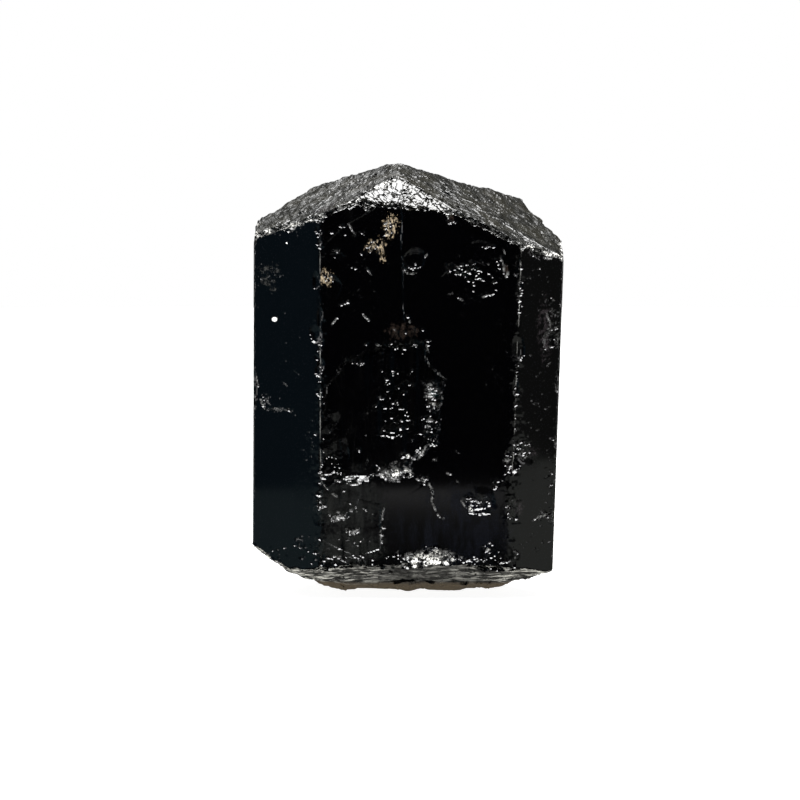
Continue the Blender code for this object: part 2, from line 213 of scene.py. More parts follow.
for box_name, box_values in SOFT_BOXES.items():
    soft_box(box_name, *box_values)

world = bpy.data.worlds.new("studio")
bpy.context.scene.world = world
world.use_nodes = True
room = world.node_tree
room.nodes.clear()
room_out = add_node(room, "ShaderNodeOutputWorld")
seen = add_node(room, "ShaderNodeLightPath")
backdrop = add_node(room, "ShaderNodeBackground", {"Color": WHITE, "Strength": 1.0})
dark_room = add_node(room, "ShaderNodeBackground", {"Strength": 1.0})
either = add_node(room, "ShaderNodeMixShader")
bearing = add_node(room, "ShaderNodeTexCoord")
bearing_parts = add_node(room, "ShaderNodeSeparateXYZ")
behind = add_node(room, "ShaderNodeMapRange", BEHIND)
from_left = add_node(room, "ShaderNodeMapRange", SIDE_TO_SIDE)
room.links.new(bearing.outputs["Generated"], bearing_parts.inputs[0])
room.links.new(bearing_parts.outputs["Y"], behind.inputs["Value"])
room.links.new(bearing_parts.outputs["X"], from_left.inputs["Value"])
side_shade = ramp(room, from_left.outputs["Result"], SIDE_SHADES)
back_shade = ramp(room, bearing_parts.outputs["Z"], BACK_SHADES)
back_dim = add_node(room, "ShaderNodeMapRange", DIM_ON_RIGHT)
room.links.new(bearing_parts.outputs["X"], back_dim.inputs["Value"])
dimmed = add_node(room, "ShaderNodeVectorMath", operation="SCALE")
room.links.new(back_shade, dimmed.inputs[0])
room.links.new(back_dim.outputs["Result"], dimmed.inputs["Scale"])
shade = mix(room, behind.outputs["Result"], side_shade, dimmed.outputs[0])
room.links.new(shade, dark_room.inputs["Color"])
room.links.new(seen.outputs["Is Camera Ray"], either.inputs["Fac"])
room.links.new(dark_room.outputs[0], either.inputs[1])
room.links.new(backdrop.outputs[0], either.inputs[2])
room.links.new(either.outputs[0], room_out.inputs["Surface"])

# ---------------------------------------------------------------------------
# Crystal: one natural prism of black tourmaline. Nine prism faces, a low
# three-sided cap, a broken base, a stepped and pitted front face.
# ---------------------------------------------------------------------------
HEIGHT = 42.7                              # standing patch to apex
FRONT_Y = -12.4
MID_HEIGHT = 20.0                          # where the prism faces' distances are measured
APEX = np.array([-0.8, -5.2, HEIGHT])

# prism faces, in order round the crystal: azimuth of the outward normal,
# distance from the Z axis at MID_HEIGHT, and how much the face leans in below
PRISM_FACES = {
    "front": (270.0, 12.4, 0.0),
    "front_right": (300.0, 16.0, 1.04),
    "right": (0.0, 14.78, 1.9),
    "back_right": (30.0, 10.8, 0.9),
    "back_right_wing": (60.0, 10.6, 0.4),
    "back_ridge": (90.0, 12.4, 0.0),
    "back_left_wing": (120.0, 11.4, 0.3),
    "back_left": (150.0, 12.0, 0.0),
    "left": (180.0, 15.23, -0.3),
    "front_left": (240.0, 15.04, 0.0),
}
# cap faces: azimuth and slope of the outward normal, and a point on the plane
CAP_FACES = {
    "left_rhomb": (206.6, 26.7, APEX + (-0.4, 0.0, 0.0)),
    "right_rhomb": (333.3, 29.1, APEX),
    "back_rhomb": (90.0, 27.3, APEX),
    "front_facet": (273.0, 57.0, np.array([APEX[0], FRONT_Y, 38.6])),
    "back_left_facet": (150.0, 46.0, np.array([-9.0, 0.15, 40.1])),
}
# spacing of the surface's columns on each prism face, fine where it is chipped
FINE = 0.1
MEDIUM = 0.12
COARSE = 0.32
COLUMN_SPACING = {"front": FINE, "front_right": MEDIUM, "front_left": MEDIUM}
WALL_ROWS = 345
CAP_ROWS = 110
BASE_ROWS = 84
RIM_CROWDING = 1.35                        # how much the base's and cap's rows crowd at the rim
BASE_CENTRE = np.array([0.8, 2.0])


def direction(azimuth, elevation=0.0):
    """Unit vector: (cos e cos a, cos e sin a, sin e)."""
    a = math.radians(azimuth)
    e = math.radians(elevation)
    return np.array([math.cos(e) * math.cos(a), math.cos(e) * math.sin(a), math.sin(e)])


prism_normals = np.array([direction(a, -lean) for a, _, lean in PRISM_FACES.values()])
prism_points = np.array(
    [distance * direction(a) + (0.0, 0.0, MID_HEIGHT) for a, distance, _ in PRISM_FACES.values()])
cap_normals = np.array([direction(a, 90.0 - slope) for a, slope, _ in CAP_FACES.values()])
cap_points = np.array([point for _, _, point in CAP_FACES.values()])
face_normals = np.concatenate([prism_normals, cap_normals])
face_offsets = np.sum(face_normals * np.concatenate([prism_points, cap_points]), axis=1)


def cell_value(cells, seed):
    """One fixed value from -1 to 1 for each whole-numbered cell: a scrambled product of its numbers."""
    mixed = cells.astype(np.int64) * np.array([73856093, 19349663, 83492791])
    mixed = (mixed[..., 0] ^ mixed[..., 1] ^ mixed[..., 2] ^ (seed * 2654435761)) & 0xFFFFFFFF
    mixed = ((mixed ^ (mixed >> 15)) * 2246822519) & 0xFFFFFFFF
    mixed = ((mixed ^ (mixed >> 13)) * 3266489917) & 0xFFFFFFFF
    mixed = mixed ^ (mixed >> 16)
    return mixed / 2147483647.5 - 1.0


def grain(points, frequency, seed):
    """Smooth noise from -1 to 1: cell values at the eight corners round a point, eased together."""
    scaled = points * np.asarray(frequency, float)
    low = np.floor(scaled).astype(np.int64)
    part = scaled - low
    ease = part * part * (3.0 - 2.0 * part)
    total = np.zeros(len(points))
    for corner in np.ndindex(2, 2, 2):
        weight = np.prod(np.where(np.array(corner) == 1, ease, 1.0 - ease), axis=-1)
        total += weight * cell_value(low + corner, seed)
    return total


def grains(points, layers):
    """Sum of grains: each layer is a height, its lumps to a millimetre and its seed."""
    total = np.zeros(len(points))
    for rise, frequency, seed in layers:
        total += rise * grain(points, frequency, seed)
    return total


SCATTER = 0.45                             # how far plate centres stray from their cells' middles


def facets(points, rise, frequency, seed, tilt, lean=(0.0, 0.0, 0.0)):
    """Broken plates: the nearest scattered centre gives a point its plate's own height and tilt, times the
    rise, and the lean is added to every plate's tilt."""
    scaled = points * np.asarray(frequency, float)
    low = np.floor(scaled).astype(np.int64)
    nearest = np.full(len(points), 1e9)
    height = np.zeros(len(points))
    for near in np.ndindex(3, 3, 3):
        cell = low + np.array(near) - 1
        centre = cell + 0.5 + SCATTER * np.stack(
            [cell_value(cell, seed), cell_value(cell, seed + 1), cell_value(cell, seed + 2)], axis=-1)
        away = scaled - centre
        distance = np.sum(away * away, axis=1)
        closer = distance < nearest
        slope = np.stack([cell_value(cell, seed + k) for k in (3, 4, 5)], axis=-1) + lean
        value = cell_value(cell, seed + 6) * (1.0 - tilt) + tilt * np.sum(slope * away, axis=1)
        nearest = np.where(closer, distance, nearest)
        height = np.where(closer, value, height)
    return rise * height


# broken base: the flat patch it stands on and how fast the break rises round it
PATCH_FRONT = -4.3
PATCH_BACK = 8.4
PATCH_LEFT = -5.0
PATCH_RIGHT = 6.4
FRONT_RISE = 0.43
SIDE_RISE = 0.36
BREAK_BLEND = 2.2
CORNER_CHIP = np.array([-15.3, -8.5, 5.3])
CORNER_CHIP_FALL = np.array([0.76, 0.08])
BREAK_SINK = 0.14
# grains, here and below: height in millimetres, lumps to a millimetre, seed
BREAK_GRAINS = (
    (0.2, 0.35, 11), (0.1, 0.9, 12), (0.11, (0.3, 1.5, 1.0), 13), (0.06, (0.8, 3.4, 1.0), 14))
CORNER_CHIP_GRAINS = ((0.09, 0.8, 15), (0.05, 2.2, 16))


def break_height(x, y):
    """Height of the broken base: the smooth maximum of four rising planes, lumpy and ribbed, or the
    corner chip's plane where that is higher, and never under the standing patch."""
    flat = np.zeros_like(x)
    place = np.stack([x, y, flat], axis=-1)
    rises = np.stack([
        (PATCH_FRONT - y) * FRONT_RISE,
        (y - PATCH_BACK) * SIDE_RISE,
        (PATCH_LEFT - x) * SIDE_RISE,
        (x - PATCH_RIGHT) * SIDE_RISE,
    ])
    slope = np.log(np.sum(np.exp(BREAK_BLEND * rises), axis=0)) / BREAK_BLEND
    height = slope + grains(place, BREAK_GRAINS) - BREAK_SINK
    chip = CORNER_CHIP[2] - (x - CORNER_CHIP[0]) * CORNER_CHIP_FALL[0]
    chip -= (y - CORNER_CHIP[1]) * CORNER_CHIP_FALL[1]
    chip += grains(place, CORNER_CHIP_GRAINS)
    return np.maximum(np.maximum(height, chip), 0.0)


def corner_lines():
    """Each upright edge as a point at height 0 and a step for a millimetre up: where two faces meet."""
    starts = []
    steps = []
    for one in range(len(prism_normals)):
        two = (one + 1) % len(prism_normals)
        pair = prism_normals[[one, two]]
        level = np.linalg.inv(pair[:, :2])
        starts.append(level @ np.sum(pair * prism_points[[one, two]], axis=1))
        steps.append(level @ -pair[:, 2])
    return np.array(starts), np.array(steps)


def columns_round():
    """The columns round the prism: the corner on each side of a column, and its share of the way."""
    starts, steps = corner_lines()
    before = []
    after = []
    share = []
    for index, name in enumerate(PRISM_FACES):
        one = (index - 1) % len(starts)
        width = np.linalg.norm(starts[index] - starts[one] + MID_HEIGHT * (steps[index] - steps[one]))
        count = max(3, round(width / COLUMN_SPACING.get(name, COARSE)))
        before += [one] * count
        after += [index] * count
        share += list(np.arange(count) / count)
    return starts, steps, np.array(before), np.array(after), np.array(share)[:, None]


def wall_place(height, columns):
    """Level place of each column's point on the prism wall at a height."""
    starts, steps, before, after, share = columns
    low = starts[before] + height[:, None] * steps[before]
    high = starts[after] + height[:, None] * steps[after]
    return low + share * (high - low)


def cap_height(place):
    """Height of the cap over a level place: the lowest of the cap's planes."""
    offsets = face_offsets[len(prism_normals):]
    heights = (offsets - place @ cap_normals[:, :2].T) / cap_normals[:, 2]
    return heights.min(axis=-1)


LOW_RIM_GUESS = 3.0
HIGH_RIM_GUESS = 38.0
RIM_ROUNDS = 4                             # each round brings the rims nearer their true heights


def crystal_grid():
    """Closed grid of points: up the base from its centre to the rim, up the wall, and over the cap."""
    columns = columns_round()
    low = np.full(len(columns[2]), LOW_RIM_GUESS)
    high = np.full(len(columns[2]), HIGH_RIM_GUESS)
    for _ in range(RIM_ROUNDS):
        low_place = wall_place(low, columns)
        high_place = wall_place(high, columns)
        low = break_height(low_place[:, 0], low_place[:, 1])
        high = cap_height(high_place)
    rows = [np.array([[BASE_CENTRE[0], BASE_CENTRE[1], 0.0]])]
    for share in np.linspace(0.0, 1.0, BASE_ROWS + 1)[1:-1]:
        place = BASE_CENTRE + (1.0 - (1.0 - share) ** RIM_CROWDING) * (low_place - BASE_CENTRE)
        rows.append(np.column_stack([place, break_height(place[:, 0], place[:, 1])]))
    for share in np.linspace(0.0, 1.0, WALL_ROWS):
        height = low + share * (high - low)
        rows.append(np.column_stack([wall_place(height, columns), height]))
    for share in np.linspace(0.0, 1.0, CAP_ROWS + 1)[1:-1]:
        place = high_place + share ** RIM_CROWDING * (APEX[:2] - high_place)
        rows.append(np.column_stack([place, cap_height(place)]))
    rows.append(np.array([[APEX[0], APEX[1], cap_height(APEX[:2])]]))
    return np.concatenate(rows), len(columns[2])


def grid_faces(count, around):
    """Quads between neighbouring rows and columns, and a fan of triangles at each pole."""
    rows = (count - 2) // around
    here = np.arange(around)
    right = (here + 1) % around
    low = 1 + np.arange(rows - 1)[:, None] * around
    quads = np.stack([low + here, low + right, low + around + right, low + around + here], axis=-1)
    last = 1 + (rows - 1) * around
    bottom = np.stack([np.zeros(around, int), 1 + right, 1 + here], axis=-1)
    top = np.stack([last + here, last + right, np.full(around, count - 1)], axis=-1)
    return quads.reshape(-1, 4), np.concatenate([bottom, top])


def mesh_from_grid(name, points, quads, triangles):
    """Mesh of the points, its corners and face starts set from whole arrays."""
    data = bpy.data.meshes.new(name)
    data.vertices.add(len(points))
    data.vertices.foreach_set("co", np.ascontiguousarray(points, dtype=np.float32).ravel())
    corners = np.concatenate([quads.ravel(), triangles.ravel()])
    starts = np.concatenate([
        np.arange(len(quads)) * 4, len(quads) * 4 + np.arange(len(triangles)) * 3])
    data.loops.add(len(corners))
    data.loops.foreach_set("vertex_index", corners.astype(np.int32))
    data.polygons.add(len(starts))
    data.polygons.foreach_set("loop_start", starts.astype(np.int32))
    data.update(calc_edges=True)
    data.validate()
    return data


EDGE_SHARPNESS = 14.0                      # higher keeps the edges between faces crisper
TURN_SHARPNESS = 2.5
BREAK_STEP = 0.05
# worn bevels along the cap's edges: the two faces that meet there, how much the
# cap face counts in the bevel's slope, and how deep it cuts at the edge
BEVELS = (
    ("front", "left_rhomb", 0.85, 0.3),
    ("front_left", "left_rhomb", 0.8, 0.16),
    ("front", "right_rhomb", 0.8, 0.2),
    ("front_right", "right_rhomb", 0.8, 0.12),
    ("left", "left_rhomb", 1.0, 0.3),
    ("right", "right_rhomb", 1.0, 0.2),
    ("back_left_wing", "back_rhomb", 1.0, 0.25),
    ("back_right_wing", "back_rhomb", 1.0, 0.2),
    ("back_left", "back_left_facet", 1.0, 0.2),
    ("back_right", "right_rhomb", 1.0, 0.15),
    ("left_rhomb", "front_facet", 1.0, 0.05),
    ("front", "front_left", 1.0, 0.04),
    ("front", "front_right", 1.0, 0.04),
    ("left_rhomb", "right_rhomb", 1.0, 0.06),
    ("left_rhomb", "back_rhomb", 1.0, 0.1),
    ("right_rhomb", "back_rhomb", 1.0, 0.08),
)
FRONT_BEVELS = (0, 2)                      # the bevels between the front and the cap
CAP_BEVELS = 11                            # the first of the bevels are round the cap
face_names = list(PRISM_FACES) + list(CAP_FACES)


def bevel_planes():
    """Each bevel's normal, the weighted sum of its two faces' normals, and its offset: the offset of the
    line where the faces meet, less its depth."""
    normals = []
    offsets = []
    for one, two, share, cut in BEVELS:
        pair = [face_names.index(one), face_names.index(two)]
        weights = np.array([1.0, share])
        normal = weights @ face_normals[pair]
        length = np.linalg.norm(normal)
        normals.append(normal / length)
        offsets.append(weights @ face_offsets[pair] / length - cut)
    return np.array(normals), np.array(offsets)


bevel_normals, bevel_offsets = bevel_planes()
# under the front facet the front leans back a little, more so on the left
FOOT_NORMAL = np.array([-0.04, -1.0, 0.12])
FOOT_NORMAL /= np.linalg.norm(FOOT_NORMAL)
FOOT_POINT = np.array([-3.5, FRONT_Y, 36.6])
FOOT_HALF_WIDTH = 4.6
FOOT_END = 2.0                             # length over which the lean runs out at each side
FOOT_FALL = 0.3
BEVEL_GRAINS = ((0.16, 1.1, 41), (0.12, 3.1, 42))
BEVEL_SINK = 0.04
FACET_RANGE = (-1.7, -0.8)                 # nearer the front facet the front's bevels fade out
FACET_RELIEF = 0.5
MOST_OUTSIDE = 0.6
LEAST_TURN = 0.4


def share_of(value, start, end):
    """Share from 0 to 1 as a value goes from start to end."""
    return np.clip((value - start) / (end - start), 0.0, 1.0)


def face_depths(points):
    """How far each point is outside each face plane, negative inside."""
    return points @ face_normals.T - face_offsets


def inward_and_rounding(points):
    """Inward direction, eased between neighbouring faces, the wear that rounds each edge, and how far a
    point is past the cap's bevels. The first two are from the smooth maximum of the depths under all faces
    and over the break and, for the wear, over the bevels."""
    under = face_depths(points)
    x, y = points[:, 0], points[:, 1]
    base = break_height(x, y)
    slope_x = (break_height(x + BREAK_STEP, y) - base) / BREAK_STEP
    slope_y = (break_height(x, y + BREAK_STEP) - base) / BREAK_STEP
    break_normal = np.stack([slope_x, slope_y, -np.ones_like(x)], axis=-1)
    length = np.linalg.norm(break_normal, axis=1)
    break_normal /= length[:, None]
    over_break = ((base - points[:, 2]) / length)[:, None]

    def eased(under, normals, sharpness):
        weight = np.exp(sharpness * np.minimum(under, MOST_OUTSIDE))
        total = weight.sum(axis=1)
        outward = (weight[:, :-1] @ normals + weight[:, -1:] * break_normal) / total[:, None]
        return outward, np.log(total) / sharpness

    outward = eased(np.hstack([under, over_break]), face_normals, TURN_SHARPNESS)[0]
    inward = -outward / np.linalg.norm(outward, axis=1)[:, None]
    ragged = grains(points, BEVEL_GRAINS)
    past_bevels = points @ bevel_normals.T - bevel_offsets + ragged[:, None] - BEVEL_SINK
    near_facet = share_of(under[:, face_names.index("front_facet")], *FACET_RANGE)
    past_bevels[:, FRONT_BEVELS] -= FACET_RELIEF * near_facet[:, None]
    past_foot = (points - FOOT_POINT) @ FOOT_NORMAL
    past_foot -= FOOT_FALL * np.clip(np.abs(x - APEX[0]) - FOOT_HALF_WIDTH, 0.0, FOOT_END)
    outward, worn = eased(
        np.hstack([under, past_bevels, past_foot[:, None], over_break]),
        np.vstack([face_normals, bevel_normals, FOOT_NORMAL]), EDGE_SHARPNESS)
    rounding = worn / np.maximum(-np.sum(outward * inward, axis=1), LEAST_TURN)
    bevelled = past_bevels[:, :CAP_BEVELS].max(axis=1)
    return inward, rounding, bevelled


points, around = crystal_grid()
inward, rounding, bevelled = inward_and_rounding(points)
under_cap = -face_depths(points)[:, len(prism_normals):].max(axis=1)
front_normal = np.array([0.0, -1.0, 0.0])

# ---------------------------------------------------------------------------
# Steps, chips and pits of the crystal: plates split off the front face, shell
# shaped chips, small angular pits where it was knocked, and fine scores.
# ---------------------------------------------------------------------------
# places on the front face are read off a chart of it, about ten steps to a millimetre
CHART_ACROSS = (408.2, 0.0975)             # chart number at the Z axis, millimetres a step
CHART_HEIGHT = (600.0, 0.0986)
STEP = CHART_ACROSS[1]
FRONT_SKIN = 1.2                           # points this far behind the front face still take its chips
FRONT_HALF_WIDTH = 12.0
SIDES_BACK = -3.0
WIDE_WARP = 0.9                            # lumps to a millimetre of the warps that chips take
FINE_WARP = 3.2


def chart(u, v):
    """Place on the front face, across and up, from chart numbers."""
    return (u - CHART_ACROSS[0]) * CHART_ACROSS[1], (CHART_HEIGHT[0] - v) * CHART_HEIGHT[1]


depth = rounding.copy()
bruise = np.zeros(len(points))             # share of crushed, pale stone at each point
warp_wide = np.stack([grain(points, WIDE_WARP, 21), grain(points, WIDE_WARP, 22)])
warp_fine = np.stack([grain(points, FINE_WARP, 23), grain(points, FINE_WARP, 24)])
across, deep, height = points[:, 0].copy(), points[:, 1].copy(), points[:, 2].copy()
on_front = np.flatnonzero((deep < FRONT_Y + FRONT_SKIN) & (np.abs(across) < FRONT_HALF_WIDTH))
on_sides = np.flatnonzero(deep < SIDES_BACK)
everywhere = np.arange(len(points))


def polygon_reach(x, z, outline):
    """Distance inside an outline, negative outside: nearest side, signed by counting crossings."""
    nearest = np.full(x.shape, 1e9)
    inside = np.zeros(x.shape, bool)
    for (x1, z1), (x2, z2) in zip(outline, outline[1:] + outline[:1]):
        along_x, along_z = x2 - x1, z2 - z1
        share = ((x - x1) * along_x + (z - z1) * along_z) / (along_x ** 2 + along_z ** 2)
        share = np.clip(share, 0.0, 1.0)
        nearest = np.minimum(nearest, np.hypot(x - x1 - share * along_x, z - z1 - share * along_z))
        crosses = (z1 > z) != (z2 > z)
        with np.errstate(divide="ignore", invalid="ignore"):
            side = x < (z - z1) * along_x / along_z + x1 if along_z else np.zeros(x.shape, bool)
        inside ^= crosses & side
    return np.where(inside, nearest, -nearest)


# plates split off the front: outline, depth, how jagged its sides are, and over what lengths its floor
# rises back to the face from the left, from below and from above (0 leaves a clean step there)
PLATES = {
    "upper": (
        ((-8.3, 28.3), (-8.2, 34.9), (-6.4, 36.6), (-3.1, 38.6), (-0.62, 38.8), (-0.6, 34.0), (-0.45, 33.0),
         (-0.45, 28.6), (-0.3, 27.1), (-2.4, 27.1), (-4.9, 27.1)),
        0.2, 0.05, 5.0, 3.0, 4.0,
    ),
    "middle": (
        ((-8.6, 12.2), (-8.4, 20.0), (-6.0, 23.8), (-3.0, 25.0), (-1.2, 25.5), (0.6, 25.5), (1.7, 24.6),
         (2.0, 23.4), (3.9, 21.8), (3.3, 20.2), (2.9, 15.7), (2.1, 15.1), (0.4, 13.4), (-0.4, 12.2),
         (-2.3, 12.1), (-2.9, 12.9), (-3.9, 11.8), (-5.0, 11.5), (-7.2, 12.4)),
        0.55, 0.42, 4.5, 0.0, 0.0,
    ),
    "low": (
        ((-8.6, 6.0), (-8.2, 11.4), (-6.8, 9.8), (-5.2, 10.2), (-2.7, 9.6), (-2.68, 5.2), (-5.0, 4.4)),
        0.14, 0.05, 4.0, 1.5, 1.6,
    ),
    "low_ledge": (
        ((-7.6, 8.1), (-7.9, 10.6), (-6.4, 11.2), (-4.6, 10.6), (-5.0, 9.2), (-6.2, 8.15)),
        0.34, 0.14, 0.8, 0.0, 2.4,
    ),
    "ridge_strip": (
        ((1.3, 15.4), (1.5, 18.6), (2.8, 18.9), (3.0, 15.6), (2.2, 15.0)),
        0.2, 0.25, 0.6, 0.0, 0.8,
    ),
}
LEDGE_WIDTH = 0.8                          # width of an upward side, in depths
SIDE_WIDTH = 0.4                           # width of an upright side, in depths
THINNEST = 0.05                            # depth that the narrowest sides are worked out for
SIDE_WAVES = (1.3, 1.0, 0.8)
SIDE_SPLINTERS = (2.6, 1.0, 2.6)
LEDGE_WAVES = (1.5, 1.0, 1.2)
PROBE = 0.1                                # how far up and down a side's lean is felt for
EASING = 0.8
LEAF_WAVES = (1.6, 1.0, 0.22)
LEAF_STEPS = 2.5
LEAF_SHARE = 0.1                           # thickness of a leaf, in depths
LEAF_LEAST = 0.2                           # where the plate is shallower its leaves thin out


def split_plate(outline, full_depth, jagged, from_left, from_below, from_above):
    """Depth = full depth x how far in from each easing side x share of the way down the nearest side;
    lower sides slope, the others are steep."""
    x = across[on_front]
    z = height[on_front]
    streak = np.stack([x, np.zeros_like(x), z], axis=-1)
    wavy = 0.65 * jagged * grain(streak, SIDE_WAVES, 31)
    ragged = wavy + 0.5 * jagged * grain(streak, SIDE_SPLINTERS, 32)
    reach = polygon_reach(x, z, outline) + ragged
    lift = (polygon_reach(x, z + PROBE, outline) - polygon_reach(x, z - PROBE, outline)) / (2.0 * PROBE)
    eased = full_depth * np.ones_like(x)
    ends = ((x - min(px for px, _ in outline), from_left),
            (z - min(pz for _, pz in outline), from_below),
            (max(pz for _, pz in outline) - z, from_above))
    for inside, length in ends:
        if length:
            eased *= np.clip((inside + wavy) / length, 0.0, 1.0) ** EASING
    uneven = 1.0 + 0.9 * grain(streak, LEDGE_WAVES, 34)
    side = SIDE_WIDTH + (LEDGE_WIDTH * uneven - SIDE_WIDTH) * np.clip(lift, 0.0, 1.0)
    side *= np.maximum(eased, THINNEST)
    share = np.clip(reach / side, 0.0, 1.0)
    leaves = LEAF_SHARE * full_depth * np.round(LEAF_STEPS * grain(streak, LEAF_WAVES, 33)) / LEAF_STEPS
    return share * np.maximum(eased + leaves * np.clip(eased / LEAF_LEAST, 0.0, 1.0), 0.0)


plate_depth = np.zeros(len(points))
for plate in PLATES.values():
    plate_depth[on_front] = np.maximum(plate_depth[on_front], split_plate(*plate))
depth += plate_depth

random = np.random.default_rng(41)         # its draws are in the order of the chips below


def chip_frame(outward, turn):
    """Two directions along the surface for an outward direction: level and upward, turned by an angle."""
    outward = np.asarray(outward, float) / np.linalg.norm(outward)
    level = np.cross((0.0, 0.0, 1.0), outward)
    level /= np.linalg.norm(level)
    rise = np.cross(outward, level)
    angle = math.radians(turn)
    one = math.cos(angle) * level + math.sin(angle) * rise
    two = math.cos(angle) * rise - math.sin(angle) * level
    return outward, one, two


DEEPEST_NEST = 0.3                         # how far down chips in chips may start
WIDE_CHIP = 1.3                            # chips that reach farther take the wide warp
RAGGED_CHIP = 0.6                          # chips that reach farther have a ragged rim as well
RAGGED_RIM = 0.06
LEAST_FACING = 0.45
DEEPEST_CUT = 1.7
CRUSHED_FROM = 0.04                        # chips deeper than this are crushed in full


def carve(among, centre, outward, turn, reach, shape, jagged=0.16, crushed=0.0, onto=False):
    """Sink the surface to a chip's shape: shape(a, b) is its depth at two distances along the surface,
    and a point moves inwards by what is missing, where that is more than it has moved already. The stone
    there is crushed by a share. A chip put onto others starts from the surface that they left."""
    near = among[
        (np.abs(across[among] - centre[0]) < reach) & (np.abs(height[among] - centre[2]) < reach)
        & (np.abs(deep[among] - centre[1]) < reach)]
    if not len(near):
        return
    outward, one, two = chip_frame(outward, turn)
    away = points[near] - centre
    warp = jagged * reach * (warp_wide if reach > WIDE_CHIP else warp_fine)[:, near]
    if reach > RAGGED_CHIP:
        warp += RAGGED_RIM * warp_fine[:, near]
    sunk = shape(away @ one + warp[0], away @ two + warp[1])
    travel = np.maximum(-(inward[near] @ outward), LEAST_FACING)
    ground = plate_depth[near]
    if onto:
        middle = near[np.argmin(np.sum(away * away, axis=1))]
        ground = ground + np.clip(depth[middle] - plate_depth[middle], 0.0, DEEPEST_NEST)
    missing = (sunk + ground + away @ outward) / travel
    missing = np.where(sunk > 0.0, np.minimum(missing, DEEPEST_CUT), 0.0)
    depth[near] = np.maximum(depth[near], missing)
    bruise[near] = np.maximum(bruise[near], crushed * np.clip(sunk / CRUSHED_FROM, 0.0, 1.0))


LIP_POWER = 3.4                            # the dish's wall is a power of the distance from its middle
LIP_LEAN = 1.8                             # the power falls upwards, so the upper wall is less steep
LIP_POWERS = (2.0, 5.0)
RIPPLE = 0.05
RIPPLE_COUNT = 15.0


def shell(half_width, half_height, chip_depth):
    """Shell-shaped chip: a shallow dish with a steep narrow lip and faint ripples."""
    def shape(a, b):
        r = np.hypot(a / half_width, b / half_height)
        power = np.clip(LIP_POWER - LIP_LEAN * b / half_height, *LIP_POWERS)
        return chip_depth * (1.0 - r ** power + RIPPLE * np.cos(RIPPLE_COUNT * r))
    return shape


PIT_WALLS = 5
PIT_SPIN = 0.2                             # radians
FLOOR_WOBBLE = 0.12
WALL_WOBBLE = 0.3
FLOOR_SLOPES = (0.55, 0.85)                # the first plane is the pit's lower side
WALL_SLOPES = (0.25, 1.1)
WALLS_OUT = (0.75, 1.1)                    # how far out the planes stand, in half sizes


def pit(size_a, size_b, pit_depth):
    """Angular pit: the lowest of five tilted planes round it, cut off flat at its depth."""
    walls = []
    spin = random.uniform(-PIT_SPIN, PIT_SPIN)
    for k in range(PIT_WALLS):
        wobble = FLOOR_WOBBLE if k == 0 else WALL_WOBBLE
        angle = -math.pi / 2.0 + spin + k * 2.0 * math.pi / PIT_WALLS + random.uniform(-wobble, wobble)
        steep = random.uniform(*(FLOOR_SLOPES if k == 0 else WALL_SLOPES))
        walls.append((math.cos(angle), math.sin(angle), steep, random.uniform(*WALLS_OUT)))
    size = math.sqrt(size_a * size_b)

    def shape(a, b):
        sunk = np.full(a.shape, pit_depth)
        for cosine, sine, steep, out in walls:
            sunk = np.minimum(sunk, steep * size * (out - cosine * a / size_a - sine * b / size_b))
        return sunk
    return shape


def face_point(name, x, z):
    """Point on a prism face at a place across and up."""
    index = list(PRISM_FACES).index(name)
    normal = prism_normals[index]
    y = (face_offsets[index] - x * normal[0] - z * normal[2]) / normal[1]
    return np.stack([x, y, z], axis=-1)


SCORE_CRUSHED = 0.7
SCORE_WARP = 0.06


def score(name, start, end, half_width, score_depth):
    """V groove on a prism face along a straight line, deepest at its middle."""
    index = list(PRISM_FACES).index(name)
    start = face_point(name, *start)
    end = face_point(name, *end)
    middle = (start + end) / 2.0
    outward, level, rise = chip_frame(prism_normals[index], 0.0)
    along = np.array([(end - start) @ level, (end - start) @ rise])
    length = np.linalg.norm(along)
    along /= length

    def shape(a, b):
        run = (a * along[0] + b * along[1]) / (0.5 * length)
        off = np.abs(b * along[0] - a * along[1]) / half_width
        return score_depth * (1.0 - off - np.abs(run) ** 3)
    among = on_front if name == "front" else on_sides
    reach = length / 2.0 + 2.0 * half_width
    carve(among, middle, outward, 0.0, reach, shape, SCORE_WARP, SCORE_CRUSHED, True)


# shell-shaped chips: face, place across and up it, half width, half height, depth, turn
SHELLS = (
    ("front", 0.66, 33.7, 1.1, 1.2, 0.11, 10),
    ("front", 4.3, 32.1, 1.3, 0.6, 0.06, 25),
    ("front", 6.6, 32.6, 1.1, 0.6, 0.05, -20),
    ("front", 7.0, 34.9, 0.9, 0.3, 0.05, 8),
    ("front", -7.0, 33.9, 0.8, 0.3, 0.05, 0),
    ("front", -7.3, 30.8, 0.9, 1.3, 0.08, 12),
    ("front", -5.2, 23.5, 0.8, 0.3, 0.06, -12),
    ("front", -1.9, 16.6, 1.0, 0.6, 0.12, 10),
    ("front", -6.9, 14.5, 1.1, 1.2, 0.1, 0),
    ("front", -6.5, 8.7, 1.0, 0.7, 0.16, 6),
    ("front", -6.3, 12.3, 2.0, 0.5, 0.07, 4),
    ("front", 6.9, 9.9, 1.7, 1.2, 0.2, 8),
    ("front", 8.2, 4.9, 0.7, 0.6, 0.12, 0),
    ("front_right", 13.9, 25.6, 0.7, 1.0, 0.14, -20),
    ("front_right", 11.4, 14.2, 0.9, 1.0, 0.14, 15),
    ("front_right", 12.4, 34.0, 0.7, 0.4, 0.1, -25),
)
SHELL_REACH = 1.5                          # in half sizes
for name, x, z, half_width, half_height, chip_depth, turn in SHELLS:
    index = list(PRISM_FACES).index(name)
    carve(on_sides, face_point(name, x, z), prism_normals[index], turn,
          SHELL_REACH * max(half_width, half_height), shell(half_width, half_height, chip_depth))

